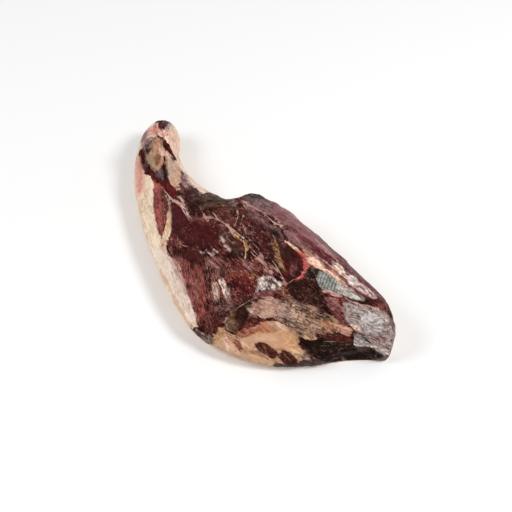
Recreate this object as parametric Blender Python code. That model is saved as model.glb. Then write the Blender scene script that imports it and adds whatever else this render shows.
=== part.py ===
"""A boneless cured ham with its shank, lying on its fat side with the cut lean upwards.

Metres, +Z up. The origin is on the surface that the ham lies on, under the middle of its
box. +X runs from the shank to the butt, and +Y to the side where the lean is highest.
The ham is a loft between two side rails. Each section is one closed contour, split where
the lean meets the fat cap, and the fat cap is the outer layer of that section.
"""

import math

import bmesh
import bpy
import numpy as np
from mathutils import Vector, noise

# Driving sizes of the finished ham
LENGTH = 0.520
WIDTH = 0.225
THICKNESS = 0.101

FAT_THICKNESS = 0.013
THINNEST_FAT = 0.001
SEAM_GAP = 0.0003

# How finely the loft is cut
RINGS_PER_STATION = 4
RINGS_PER_SHANK_STATION = 7
SHANK_STATIONS = 4
LEAN_POINTS = 37
CONTOUR_POINTS = 181
# Steps of the fat arc: far edge to far rail, to the bed, across the bed, to the near rail,
# and to the near edge
FAT_STEPS = (2, 3, 4, 4, 3)

# How square the sections are: 2 is an ellipse, and more is fuller at the shoulders
TOP_SQUARENESS = 2.7
BOTTOM_SQUARENESS = 2.2
# How far the upper side stands above its rims at least, and how softly it gets there
RIM_LIFT, RIM_SOFT = 16.0, 10.0
# How much of the room inside a section its fat may take
ROOM_SHARE = 0.8
# How much of the width is the flat bed underneath, and how much the bed lifts at the ends
BED_SHARE = 0.6
BED_LIFT = 0.5

# The loft's stations from the shank's tip to the butt, sketched in millimetres. near and far
# are the side rails in plan, with the rail's height as the third number. top is the height of
# the upper side a fifth, half and four fifths of the way across. fat is where the lean starts
# and ends, in degrees round the section: 0 is the near rail, 90 the middle, 180 the far rail.
STATIONS = {
    "tip": {"near": (-312, 42, 27), "far": (-288, 67, 29), "top": (46, 50, 48), "fat": (48, 150)},
    "end": {"near": (-302, 12, 29), "far": (-262, 58, 32), "top": (57, 62, 58), "fat": (44, 152)},
    "hock": {"near": (-278, -16, 30), "far": (-239, 38, 34), "top": (62, 70, 62), "fat": (34, 152)},
    "shank": {"near": (-240, -49, 31), "far": (-207, 25, 35), "top": (60, 70, 61), "fat": (37, 150)},
    "neck": {"near": (-202, -71, 31), "far": (-179, 22, 29), "top": (58, 68, 59), "fat": (44, 144)},
    "knee": {"near": (-155, -94, 31), "far": (-141, 27, 29), "top": (61, 75, 64), "fat": (44, 146)},
    "calf": {"near": (-108, -112, 32), "far": (-99, 38, 34), "top": (66, 86, 77), "fat": (44, 158)},
    "crest": {"near": (-59, -128, 32), "far": (-60, 70, 42), "top": (70, 92, 94), "fat": (40, 166)},
    "mid": {"near": (-6, -141, 31), "far": (-20, 86, 42), "top": (72, 97, 98), "fat": (34, 167)},
    "thigh": {"near": (41, -145, 28), "far": (29, 87, 42), "top": (70, 98, 100), "fat": (28, 167)},
    "hip": {"near": (92, -128, 22), "far": (80, 88, 41), "top": (60, 96, 99), "fat": (22, 164)},
    "rump": {"near": (136, -98, 15), "far": (123, 90, 40), "top": (50, 91, 96), "fat": (17, 162)},
    "flap": {"near": (171, -56, 12), "far": (164, 87, 39), "top": (46, 84, 91), "fat": (14, 160)},
    "edge": {"near": (196, -13, 14), "far": (198, 79, 38), "top": (46, 77, 84), "fat": (14, 159)},
    "lip": {"near": (219, 20, 18), "far": (221, 68, 37), "top": (50, 69, 72), "fat": (16, 158)},
    "butt": {"near": (238, 39, 27), "far": (232, 60, 34), "top": (50, 57, 58), "fat": (26, 154)},
}

# How far the two ends are rounded, in stations, and how small the last ring is
SHANK_ROUND, SHANK_BLUNT = 0.55, 0.62
BUTT_ROUND, BUTT_BLUNT = 0.6, 0.74

# Form on the upper side. Places are (station, degrees round the section), sizes millimetres.
SEAMS = {
    "valley beside the long muscle": {
        "points": ((6.9, 122), (7.8, 117), (8.8, 113)),
        "width": 14, "rise": -4,
    },
    "ridge of the long muscle": {
        "points": ((7.2, 142), (8.5, 136), (10.5, 134), (12.5, 130), (13.8, 124)),
        "width": 19, "rise": 5,
    },
    "trough of the sinew": {
        "points": ((10.3, 118), (11.2, 115), (12.1, 111), (13.0, 106)),
        "width": 12, "rise": -7,
    },
    "slit in the shank": {
        "points": ((1.5, 94), (2.0, 105), (2.6, 124)),
        "width": 6, "rise": -7,
    },
    "cleft below the tendon": {
        "points": ((3.2, 62), (3.8, 76), (4.5, 84)),
        "width": 7, "rise": -6,
    },
}
LIPS = {
    "lower edge of the cushion muscle": {
        "points": ((9.5, 36), (9.55, 46), (9.65, 58), (9.8, 72), (10.1, 86)),
        "width": 11, "rise": 4, "drop": -7,
    },
    "flap over the hip pocket": {
        "points": ((14.6, 34), (13.8, 40), (12.9, 43), (12.0, 44), (10.9, 42)),
        "width": 12, "rise": 3, "drop": -11,
    },
}
MOUNDS = {
    "pocket in the shank": {"at": (2.4, 44), "along": 16, "across": 7, "rise": -9},
    "tendon": {"at": (2.3, 70), "along": 17, "across": 9, "rise": 5},
    "sheath of the tendon": {"at": (3.2, 108), "along": 20, "across": 9, "rise": 4},
    "cushion muscle": {"at": (7.8, 70), "along": 62, "across": 42, "rise": 5},
    "round muscle hollow": {"at": (9.5, 111), "along": 20, "across": 24, "rise": -8},
    "round muscle": {"at": (9.5, 111), "along": 11, "across": 14, "rise": 6},
    "lower muscle": {"at": (11.3, 92), "along": 32, "across": 15, "rise": 5},
    "crest": {"at": (6.85, 146), "along": 17, "across": 20, "rise": 7},
    "butt lump": {"at": (13.4, 100), "along": 22, "across": 22, "rise": 5},
    "fat pad": {"at": (10.6, 40), "along": 26, "across": 15, "rise": 5},
    "hollow above the pad": {"at": (9.9, 50), "along": 13, "across": 9, "rise": -5},
}
RAIL_FADE = 24
END_FADE = 0.8
UNEVEN = {"size": 46.0, "rise": 1.8, "seed": (3.1, 7.4, 1.9)}

LEAN_RED = (0.115, 0.035, 0.026, 1.0)
FAT_CREAM = (0.62, 0.42, 0.29, 1.0)


def clear_scene():
    for old in list(bpy.data.objects):
        bpy.data.objects.remove(old)


def smooth_between(rows, t):
    """Catmull-Rom through evenly spaced rows, at the places t."""
    rows = np.asarray(rows, float)
    last = len(rows) - 1
    start = np.clip(np.floor(t).astype(int), 0, last - 1)
    f = (t - start)[:, None]
    a, b, c, d = (rows[np.clip(start + k, 0, last)] for k in (-1, 0, 1, 2))
    return b + 0.5 * f * (c - a + f * (2 * a - 5 * b + 4 * c - d + f * (3 * (b - c) + d - a)))


def station_values(t):
    """near, far, top and fat of the sections at t."""
    rows = [[*s["near"], *s["far"], *s["top"], *s["fat"]] for s in STATIONS.values()]
    found = smooth_between(rows, t)
    return found[:, 0:3], found[:, 3:6], found[:, 6:9], found[:, 9:11]


def ring_places():
    """Where the rings stand, in stations, closer together in the shank and at both ends."""
    last = len(STATIONS) - 1
    shank = np.arange(0, SHANK_STATIONS, 1 / RINGS_PER_SHANK_STATION)
    body = np.linspace(SHANK_STATIONS, last, (last - SHANK_STATIONS) * RINGS_PER_STATION + 1)
    ends = [0.04, last - 0.12]
    return np.sort(np.concatenate([shank, body, ends]))


def end_rounding(t):
    """How much of its full size a section has near the two ends."""
    last = len(STATIONS) - 1

    def rounded(reach, blunt, from_end):
        inside = np.clip(from_end / reach, 0, 1)
        return blunt + (1 - blunt) * np.sqrt(1 - (1 - inside) ** 2)

    return rounded(SHANK_ROUND, SHANK_BLUNT, t) * rounded(BUTT_ROUND, BUTT_BLUNT, last - t)


def fullness(side, squareness):
    return (1 - side**squareness) ** (1 / squareness)


def section_points(t, degrees):
    """Points of the plain contour. Rows are sections; degrees 0 to 180 is the upper side from
    the near rail to the far one, and 180 to 360 the lower side back again."""
    near, far, top, _ = (v[:, None] for v in station_values(t))
    size = end_rounding(t)[:, None]
    w = (1 - np.cos(np.radians(degrees)[None, :])) / 2
    rail = near * (1 - w[..., None]) + far * w[..., None]
    middle = (near + far) / 2
    plan = middle[..., :2] + (rail[..., :2] - middle[..., :2]) * size[..., None]
    crown = (
        top[..., 0] * (w - 0.5) * (w - 0.8) / 0.18
        - top[..., 1] * (w - 0.2) * (w - 0.8) / 0.09
        + top[..., 2] * (w - 0.2) * (w - 0.5) / 0.18
    )
    rim = rail[..., 2]
    above_rim = crown - rim - RIM_LIFT
    crown = rim + RIM_LIFT + (above_rim + np.sqrt(above_rim**2 + RIM_SOFT**2)) / 2
    side = np.abs(2 * w - 1)
    bed_share = BED_SHARE * size**2
    beside_bed = np.clip((side - bed_share) / (1 - bed_share), 0, 1)
    upper = rim + (crown - rim) * fullness(side, TOP_SQUARENESS) * size
    bed = 1 - BED_LIFT * (1 - size)
    lower = rim * (1 - fullness(beside_bed, BOTTOM_SQUARENESS) * bed)
    height = np.where(degrees[None, :] <= 180, upper, lower)
    return np.concatenate([plan, height[..., None]], axis=-1)


def outward(points):
    """Unit normals of a grid of points, rows being sections."""
    along = np.gradient(points, axis=0)
    round_it = np.gradient(points, axis=1)
    normal = np.cross(along, round_it)
    return normal / np.maximum(np.linalg.norm(normal, axis=-1, keepdims=True), 1e-9)


def on_surface(places):
    """The points of (station, degrees) places on the plain upper side."""
    return np.array([section_points(np.array([s]), np.array([d]))[0, 0] for s, d in places])


def along_seam(points, seam):
    """Distance of each point from a seam, on which side of it the point is, seen from above,
    and how strong the seam is there, as it fades out towards both its ends."""
    corners = on_surface(smooth_between(seam, np.linspace(0, len(seam) - 1, 6 * len(seam))))
    runs = len(corners) - 1
    best = np.full(points.shape[:-1], np.inf)
    side, place = np.zeros_like(best), np.zeros_like(best)
    for k in range(runs):
        run = corners[k + 1] - corners[k]
        share = np.clip((points - corners[k]) @ run / (run @ run), 0, 1)
        off = points - (corners[k] + share[..., None] * run)
        far = np.linalg.norm(off, axis=-1)
        turn = np.sign(run[0] * off[..., 1] - run[1] * off[..., 0])
        side = np.where(far < best, turn, side)
        place = np.where(far < best, (k + share) / runs, place)
        best = np.minimum(best, far)
    return best, side, np.sin(np.pi * place) ** 0.6


def mound_rise(points, at, along, across, rise):
    """A smooth oval swelling, or a hollow where rise is negative."""
    centre, ahead, beside = on_surface((at, (at[0] + 0.1, at[1]), (at[0], at[1] + 3)))
    forward = (ahead - centre) / np.linalg.norm(ahead - centre)
    across_it = (beside - centre) / np.linalg.norm(beside - centre)
    off = points - centre
    reach = ((off @ forward) / along) ** 2 + ((off @ across_it) / across) ** 2
    return rise * np.exp(-reach)


def relief(t, points, degrees):
    """How far the form stands out of the plain upper side, faded out at the rails and ends."""
    total = np.zeros(points.shape[:-1])
    for mound in MOUNDS.values():
        total += mound_rise(points, **mound)
    for seam in SEAMS.values():
        distance, _, strength = along_seam(points, seam["points"])
        total += seam["rise"] * strength * np.exp(-((distance / seam["width"]) ** 2))
    for lip in LIPS.values():
        distance, side, strength = along_seam(points, lip["points"])
        off = distance / lip["width"]
        profile = off * np.exp(0.5 - 0.5 * off**2)
        total += np.where(side > 0, lip["rise"], lip["drop"]) * strength * profile
    seed = Vector(UNEVEN["seed"])
    uneven = [noise.noise(Vector(p) / UNEVEN["size"] + seed) for p in points.reshape(-1, 3)]
    total += UNEVEN["rise"] * np.array(uneven).reshape(total.shape)
    from_rail = np.minimum(degrees, 180 - degrees)
    from_end = np.minimum(t, len(STATIONS) - 1 - t)
    at_rails = np.clip(from_rail / RAIL_FADE, 0, 1)
    at_ends = np.clip(from_end / END_FADE, 0, 1)
    return total * at_rails[None, :] * at_ends[:, None]


def contour_grid(t):
    """The full contours with their form, closed from the near rail round to itself."""
    degrees = np.linspace(0, 360, 2 * CONTOUR_POINTS - 1)
    points = section_points(t, degrees)
    upper = degrees <= 180
    top = points[:, upper]
    points[:, upper] = top + outward(top) * relief(t, top, degrees[upper])[..., None]
    return degrees, points


def stretch(degrees, contour, start, stop, steps):
    """Evenly spaced points along one contour from one angle to another, which may be past
    a full turn."""
    turned = np.concatenate([degrees, degrees[1:] + 360])
    points = np.vstack([contour, contour[1:]])
    fine = np.linspace(start, stop, 120)
    line = np.stack([np.interp(fine, turned, points[:, k]) for k in range(3)], axis=1)
    reach = np.concatenate([[0], np.cumsum(np.linalg.norm(np.diff(line, axis=0), axis=1))])
    places = np.linspace(0, reach[-1], steps + 1)
    return np.stack([np.interp(places, reach, line[:, k]) for k in range(3)], axis=1)


def split_section(degrees, contour, edges):
    """One section's lean arc from the near fat edge to the far one, and its fat arc back
    round the far rail, the bed and the near rail."""
    near_edge, far_edge = edges
    foot = math.degrees(math.acos(BED_SHARE))
    marks = (far_edge, 180, 180 + foot, 360 - foot, 360, 360 + near_edge)
    lean = stretch(degrees, contour, near_edge, far_edge, LEAN_POINTS - 1)
    pieces = [
        stretch(degrees, contour, start, stop, steps)[:-1]
        for start, stop, steps in zip(marks, marks[1:], FAT_STEPS)
    ]
    return lean, np.vstack([*pieces, lean[:1]])


def inward_ways(fat, across):
    """Unit vectors into the section at each inside point of the fat arc."""
    steps = np.diff(fat, axis=0)
    steps /= np.linalg.norm(steps, axis=1, keepdims=True)
    back = steps[1:] + steps[:-1]
    ways = np.stack([back[:, 2] * across[0], back[:, 2] * across[1], -back @ across], axis=1)
    return ways / np.linalg.norm(ways, axis=1, keepdims=True)


def room_inside(contour, fat, ways):
    """Radius of the largest circle inside the section that touches it at each point."""
    off = contour[None] - fat[:, None]
    ahead = np.einsum("pcx,px->pc", off, ways)
    apart = np.linalg.norm(off, axis=-1)
    radius = np.where(ahead > 0.35 * apart, apart**2 / (2 * np.maximum(ahead, 1e-9)), np.inf)
    return radius.min(axis=1)


def fat_depth(contour, fat, ways, depth_full):
    """The fat's thickness at the inside points of its arc. It tapers to both edges, and never
    passes the middle of the meat."""
    reach = np.cumsum(np.linalg.norm(np.diff(fat, axis=0), axis=1))
    from_edge = np.minimum(reach, reach[-1] - reach)[:-1]
    depth = depth_full * np.clip(from_edge / (1.5 * depth_full), 0, 1) ** 0.8
    depth = np.minimum(depth, ROOM_SHARE * room_inside(contour, fat[1:-1], ways))
    return np.maximum(depth, THINNEST_FAT * 1000)


def section_solids(degrees, contour, edges):
    """The closed outlines of one section's lean and fat, with the seam's gap between them.
    Where they face each other both run the same way round, from the far edge to the near."""
    lean, fat = split_section(degrees, contour, edges)
    height = contour[:, 2].max() - contour[:, 2].min()
    span = contour[CONTOUR_POINTS - 1] - contour[0]
    width = np.linalg.norm(span)
    depth_full = min(FAT_THICKNESS * 1000, 0.24 * height, 0.12 * width)
    across = np.array([span[0], span[1], 0]) / np.hypot(span[0], span[1])
    ways = inward_ways(fat, across)
    depth = fat_depth(contour, fat, ways, depth_full)[:, None]
    gap = SEAM_GAP * 1000
    fat_inner = fat[1:-1] + ways * depth
    lean_inner = fat[1:-1] + ways * (depth + gap)
    for end, neighbour in ((0, 1), (-1, -2)):
        step = lean[neighbour] - lean[end]
        lean[end] += step / np.linalg.norm(step) * gap
    return np.vstack([lean, lean_inner]), np.vstack([fat_inner, fat[::-1]])


def fit_to_size(rings):
    """Scales and centres all rings together, so that the finished ham has its named sizes."""
    points = np.concatenate([ring.reshape(-1, 3) for ring in rings])
    low, high = points.min(axis=0), points.max(axis=0)
    scale = np.array([LENGTH, WIDTH, THICKNESS]) / (high - low)
    base = np.array([(low[0] + high[0]) / 2, (low[1] + high[1]) / 2, low[2]])
    return [(ring - base) * scale for ring in rings]


def loft(name, rings, material):
    """One closed solid from a grid of rings, every quad cut along the same diagonal, so that
    the two solids stay parallel where they face each other."""
    count, around = rings.shape[:2]
    bm = bmesh.new()
    grid = [[bm.verts.new(p) for p in ring] for ring in rings]
    for i in range(count - 1):
        for j in range(around):
            k = (j + 1) % around
            a, b, c, d = grid[i][j], grid[i + 1][j], grid[i + 1][k], grid[i][k]
            bm.faces.new((a, b, c))
            bm.faces.new((a, c, d))
    bm.faces.new(grid[0])
    bm.faces.new(grid[-1][::-1])
    bmesh.ops.recalc_face_normals(bm, faces=bm.faces)
    ends = [f for f in bm.faces if len(f.verts) > 3]
    bmesh.ops.triangulate(bm, faces=ends)
    mesh = bpy.data.meshes.new(name)
    bm.to_mesh(mesh)
    bm.free()
    mesh.shade_smooth()
    mesh.set_sharp_from_angle(angle=math.radians(50))
    mesh.materials.append(material)
    made = bpy.data.objects.new(name, mesh)
    bpy.context.scene.collection.objects.link(made)
    return made


def meat_material(name, colour, roughness):
    material = bpy.data.materials.new(name)
    material.use_nodes = True
    shader = material.node_tree.nodes["Principled BSDF"]
    shader.inputs["Base Color"].default_value = colour
    shader.inputs["Roughness"].default_value = roughness
    shader.inputs["Metallic"].default_value = 0.0
    material.diffuse_color = colour
    return material


def build():
    clear_scene()
    t = ring_places()
    degrees, contours = contour_grid(t)
    fat_edges = station_values(t)[3]
    sections = [
        section_solids(degrees, contour, edges) for contour, edges in zip(contours, fat_edges)
    ]
    lean, fat = fit_to_size([np.array([s[k] for s in sections]) for k in (0, 1)])
    loft("lean_meat", lean, meat_material("lean", LEAN_RED, 0.42))
    loft("fat_cap", fat, meat_material("fat", FAT_CREAM, 0.5))


build()
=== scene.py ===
import math
from itertools import product

import bmesh
import bpy
import numpy as np
from mathutils import Matrix, Vector
from mathutils.bvhtree import BVHTree


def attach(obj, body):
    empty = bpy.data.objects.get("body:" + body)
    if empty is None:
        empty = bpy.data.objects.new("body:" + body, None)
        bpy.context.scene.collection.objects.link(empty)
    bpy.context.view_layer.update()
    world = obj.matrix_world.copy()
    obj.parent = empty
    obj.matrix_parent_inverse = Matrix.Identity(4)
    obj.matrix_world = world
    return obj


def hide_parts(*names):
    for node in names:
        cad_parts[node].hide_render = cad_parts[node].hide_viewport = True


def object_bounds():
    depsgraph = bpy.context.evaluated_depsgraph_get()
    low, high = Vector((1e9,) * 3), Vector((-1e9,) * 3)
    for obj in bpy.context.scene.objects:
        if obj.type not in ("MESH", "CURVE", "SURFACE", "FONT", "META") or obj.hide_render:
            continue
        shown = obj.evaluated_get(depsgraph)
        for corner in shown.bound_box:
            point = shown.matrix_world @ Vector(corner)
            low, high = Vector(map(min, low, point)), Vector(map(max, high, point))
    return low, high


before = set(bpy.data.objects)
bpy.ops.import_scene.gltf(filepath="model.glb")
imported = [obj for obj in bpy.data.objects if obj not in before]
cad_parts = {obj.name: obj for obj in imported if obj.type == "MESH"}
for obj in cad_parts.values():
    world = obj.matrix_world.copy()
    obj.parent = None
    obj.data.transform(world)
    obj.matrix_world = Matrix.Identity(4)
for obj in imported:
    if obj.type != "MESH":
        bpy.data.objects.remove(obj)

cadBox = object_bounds()

# where the picture was taken from, in the ham's own frame
photoView = {
    "turn": 50.0,  # degrees round the ham
    "height": 55.0,  # degrees above the table
    "lens": 70.0,
    "sensor": 36.0,
    "distance": 1.40,  # metres
    "lookAt": (0.0344, 0.0266, 0.0417),
    "picture": 512,  # pixels each way
}


def viewAxes(view):
    turn, height = math.radians(view["turn"]), math.radians(view["height"])
    back = np.array([math.sin(turn) * math.cos(height), -math.cos(turn) * math.cos(height),
                     math.sin(height)])
    right = np.array([math.cos(turn), math.sin(turn), 0.0])
    return right, np.cross(back, right), back


viewRight, viewUp, viewBack = viewAxes(photoView)
viewFrom = np.array(photoView["lookAt"]) + viewBack * photoView["distance"]
pixelsPerSlope = photoView["lens"] / photoView["sensor"] * photoView["picture"]


def toPicture(points):
    # where points of the ham show in the picture, in pixels
    away = points - viewFrom
    depth = -away @ viewBack
    half = photoView["picture"] / 2
    return np.stack([half + pixelsPerSlope * (away @ viewRight) / depth,
                     half - pixelsPerSlope * (away @ viewUp) / depth], axis=1)


def sightLine(pixel):
    # from the camera through a place in the picture
    half = photoView["picture"] / 2
    across, down = (pixel[0] - half) / pixelsPerSlope, (pixel[1] - half) / pixelsPerSlope
    way = viewRight * across - viewUp * down - viewBack
    return Vector(viewFrom), Vector(way).normalized()


# odd factors that scatter the cells of the lattice
scatter = {"cell": (73856093, 19349663, 83492791), "seed": 40503, "first": 1274126177,
           "second": 668265263}


def unevenness(points, seed):
    # smooth lumps from a hashed lattice one unit apart, -1 to 1
    base = np.floor(points)
    part = points - base
    ease = part ** 3 * (part * (part * 6 - 15) + 10)
    base = base.astype(np.int64)
    total = np.zeros(len(points))
    for corner in product((0, 1), repeat=3):
        cell = (base + np.array(corner)) * scatter["cell"]
        mixed = cell[:, 0] ^ cell[:, 1] ^ cell[:, 2] ^ (seed * scatter["seed"])
        mixed = ((mixed ^ (mixed >> 13)) * scatter["first"]) & 0x7FFFFFFF
        mixed = ((mixed ^ (mixed >> 15)) * scatter["second"]) & 0x7FFFFFFF
        value = ((mixed >> 7) % 4096) / 2047.5 - 1
        total += value * np.prod(np.where(np.array(corner) > 0, ease, 1 - ease), axis=1)
    return total


def tint(red, green, blue):
    # a colour as the picture shows it, 0 to 255, as the shader takes it
    return tuple((((part / 255) + 0.055) / 1.055) ** 2.4 for part in (red, green, blue)) + (1.0,)


def easeBetween(low, high, value):
    part = np.clip((value - low) / (high - low), 0, 1)
    return part * part * (3 - 2 * part)


def put(name, data):
    # a new object in the scene
    thing = bpy.data.objects.new(name, data)
    bpy.context.scene.collection.objects.link(thing)
    return thing


# the body of the ham
hamSkin = {
    "swell": 0.00026,  # closes the fine gap between the lean and the fat
    "cell": 0.0015,  # size of one face of the skin
    "rounds": 14,  # smoothing, so that no flat facets are left
}


def weldedPart(name, swell):
    part = bmesh.new()
    part.from_mesh(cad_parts[name].data)
    bmesh.ops.remove_doubles(part, verts=part.verts, dist=0.00001)
    part.normal_update()
    for vert in part.verts:
        vert.co += vert.normal * swell
    mesh = bpy.data.meshes.new(name + "Swollen")
    part.to_mesh(mesh)
    part.free()
    return mesh


def fusedSkin(settings):
    whole = bmesh.new()
    for name in ("lean_meat", "fat_cap"):
        part = weldedPart(name, settings["swell"])
        whole.from_mesh(part)
        bpy.data.meshes.remove(part)
    rough = bpy.data.meshes.new("roughHam")
    whole.to_mesh(rough)
    whole.free()
    holder = put("roughHam", rough)
    remesh = holder.modifiers.new("skin", "REMESH")
    remesh.mode = "VOXEL"
    remesh.voxel_size = settings["cell"]
    remesh.adaptivity = 0
    bpy.context.view_layer.update()
    evaluated = holder.evaluated_get(bpy.context.evaluated_depsgraph_get())
    mesh = bpy.data.meshes.new_from_object(evaluated)
    bpy.data.objects.remove(holder)
    bpy.data.meshes.remove(rough)
    mesh.name = "ham"
    return mesh


def heldBy(items, key, kind, width=3):
    # what each item of a mesh holds, one row for each
    values = np.zeros(len(items) * width, kind)
    items.foreach_get(key, values)
    return values.reshape(-1, width)


def meshNormals(mesh):
    return heldBy(mesh.vertex_normals, "vector", np.float32).astype(float)


def putPoints(mesh, points):
    mesh.vertices.foreach_set("co", points.astype(np.float32).ravel())
    mesh.update()


def averaged(values, edges, count):
    # the mean of each point's neighbours
    total = np.zeros_like(values)
    for column in range(values.shape[1]):
        total[:, column] = (np.bincount(edges[:, 0], values[edges[:, 1], column], len(values))
                            + np.bincount(edges[:, 1], values[edges[:, 0], column], len(values)))
    return total / count


def smoothed(points, edges, rounds, shares=(0.55, -0.57)):
    count = np.maximum(np.bincount(edges.ravel(), minlength=len(points)), 1)[:, None]
    for turn in range(rounds):
        for share in shares:
            points = points + share * (averaged(points, edges, count) - points)
    return points


hamMesh = fusedSkin(hamSkin)
skinEdges = heldBy(hamMesh.edges, "vertices", np.int32, 2)
skinPoints = smoothed(heldBy(hamMesh.vertices, "co", float), skinEdges, hamSkin["rounds"])
putPoints(hamMesh, skinPoints)
skinNormals = meshNormals(hamMesh)
print("skin of the ham:", len(hamMesh.vertices), "points")

# how much nearer each point is to the fat than to the lean, in millimetres
leanTree, fatTree = (BVHTree.FromObject(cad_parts[name], bpy.context.evaluated_depsgraph_get())
                     for name in ("lean_meat", "fat_cap"))
fatness = np.array([(leanTree.find_nearest(p)[3] - fatTree.find_nearest(p)[3])
                    * 1000 for p in skinPoints.tolist()])

# the grain: lines that run from the shank to the butt, in millimetres
grainLines = {
    "near": [(-262, 67), (-230, 11), (-158, -41), (-68, -80), (29, -108), (122, -96), (197, -27),
             (261, 64)],
    "far": [(-239, 91), (-193, 63), (-136, 48), (-60, 63), (15, 109), (111, 111), (190, 110), (255, 84)],
    "long": 520.0,
    "across": 150.0,
    "seeds": (29, 5),  # first guesses along and across
    "block": 4000,  # points looked at together
    "rounds": 4,  # of closing in on each point's place
    "nudge": 0.01,  # share of the way over which a slope is taken
    "flat": 0.0001,  # the least area to divide by
    "stride": (0.06, 0.2),  # the most in one round
    "past": 0.03,  # how far past the ends a place may lie
}


def crossed(first, second):
    return first[:, 0] * second[:, 1] - first[:, 1] * second[:, 0]


def grainPlaces(points, lines):
    near, far = (np.array(lines[side], float) / 1000 for side in ("near", "far"))
    marks = np.linspace(0, 1, len(near))

    def spot(along, across):
        sides = [np.stack([np.interp(along, marks, column) for column in line.T], axis=1)
                 for line in (near, far)]
        return sides[0] + (sides[1] - sides[0]) * across[:, None]

    grids = np.meshgrid(*(np.linspace(0, 1, count) for count in lines["seeds"]))
    seedAlong, seedAcross = (grid.ravel() for grid in grids)
    seeds = spot(seedAlong, seedAcross)
    plan = points[:, :2]
    blocks = [plan[first:first + lines["block"], None] for first in range(0, len(plan), lines["block"])]
    nearest = np.concatenate([((block - seeds) ** 2).sum(axis=2).argmin(axis=1) for block in blocks])
    along, across = seedAlong[nearest], seedAcross[nearest]
    nudge, (strideAlong, strideAcross) = lines["nudge"], lines["stride"]
    for turn in range(lines["rounds"]):
        off = plan - spot(along, across)
        alongWay = (spot(along + nudge, across) - spot(along - nudge, across)) / (2 * nudge) + 1e-6
        acrossWay = (spot(along, across + nudge) - spot(along, across - nudge)) / (2 * nudge)
        area = crossed(alongWay, acrossWay)
        area = np.where(np.abs(area) < lines["flat"], lines["flat"], area)
        along = along + np.clip(crossed(off, acrossWay) / area, -strideAlong, strideAlong)
        across = across + np.clip(crossed(alongWay, off) / area, -strideAcross, strideAcross)
        along = np.clip(along, -lines["past"], 1 + lines["past"])
    return np.stack([along * lines["long"], across * lines["across"], points[:, 2] * 1000], axis=1)


grain = grainPlaces(skinPoints, grainLines)
print("grain laid along the ham")

# what is laid on the skin, in pixels of the picture
# finish, name, points, and how: wide makes a line that wide, thin keeps a patch broken up,
# rise is in millimetres, lip is how many pixels its edge takes
shankMarks = [
    ("cream", "rim", [(150, 125), (157, 122), (170, 122), (178, 128), (180, 145), (184, 157), (190, 172),
     (184, 176), (176, 162), (168, 150), (163, 140), (157, 135), (150, 140), (143, 148), (139, 150),
     (138, 142)], {}),
    ("film", "grey top", [(165, 122), (171, 123), (172, 128), (167, 130), (163, 127)], {"thin": 1}),
    ("wine", "red top", [(158, 124), (162, 121.5), (164, 124), (163, 129), (160, 128)], {"rise": -0.8}),
    ("soot", "black top", [(163, 123), (166, 121.5), (168, 123), (165, 129), (163, 128)], {"rise": -1}),
    ("tan", "tendon", [(151, 139), (158, 135.5), (163, 139), (163, 146), (166, 151), (165, 159),
     (163, 167), (160, 171), (156, 172.5), (152, 171), (149, 166), (146, 160), (148, 152)],
     {"rise": 1.2, "lip": 4}),
    ("soot", "dark smudge", [(146, 150), (148, 145), (152, 142), (153, 146), (151, 151), (147, 152)],
     {"thin": 0.9}),
    ("film", "pocket's mauve side", [(144, 150), (148, 150), (149, 155), (147, 160), (145, 161),
     (143, 155)], {"thin": 0.8}),
    ("wine", "pocket", [(141, 149), (143.5, 149.5), (145, 153), (145, 160), (146, 166), (147.5, 171),
     (147.3, 175), (145, 172), (142, 166), (139.5, 160), (138.8, 155), (139.5, 151)],
     {"rise": -3, "lip": 2.5}),
    ("tan", "sheath", [(166, 152), (170, 155), (173, 158), (176, 164), (179, 172), (181, 181), (179, 187),
     (175, 189), (172, 184), (169, 179), (167, 172), (164.5, 166), (165, 158)], {"rise": 1, "lip": 4}),
    ("amber", "stain of the sheath", [(173, 161), (176, 166), (178, 174), (176, 180), (174, 172)],
     {"thin": 0.5}),
    ("blush", "end of the sheath", [(173, 182), (179, 183), (180, 188), (176, 190), (173, 187)],
     {"thin": 0.8}),
    ("soot", "crack in the tendon", [(164.8, 150), (164.3, 156), (163, 162), (162.5, 167)],
     {"wide": 0.9, "rise": -0.8}),
    ("wine", "slit", [(163, 138.5), (166, 139.5), (170, 146), (173.5, 152), (175.5, 157), (177.8, 161.5),
     (174, 158), (170, 154.5), (166, 150), (163.5, 146.5), (162.6, 142)], {"rise": -3, "lip": 2}),
    ("soot", "split of the slit", [(157, 134.8), (160, 136.6), (163, 138.6)],
     {"wide": 1.3, "rise": -1.5}),
    ("soot", "crack of the rim", [(162.7, 129), (162.9, 133), (163.4, 138)], {"wide": 0.8, "rise": -0.6}),
    ("wine", "red below the tendon", [(150, 168), (154, 172), (158, 177), (163, 182), (168, 187),
     (172, 195), (170, 198), (165, 194), (161, 188), (157, 182), (153, 176), (150, 171)], {"rise": -0.8}),
    ("film", "blue patch", [(155, 171), (158, 168.5), (163, 167.5), (164.5, 172), (163, 178),
     (161, 182.5), (158, 179), (155.5, 175)], {"rise": 0.4}),
    ("soot", "shade of the blue patch", [(162, 168), (165, 169), (167, 175), (164, 180), (162, 183),
     (163, 176)], {"thin": 0.8, "rise": -1}),
    ("wine", "red eye", [(163, 178), (166, 176), (171, 183), (175, 189), (177.5, 194), (175.5, 198.5),
     (171, 198), (166, 194), (162, 188), (160, 183)], {"rise": -1.4, "lip": 3}),
]
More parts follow.
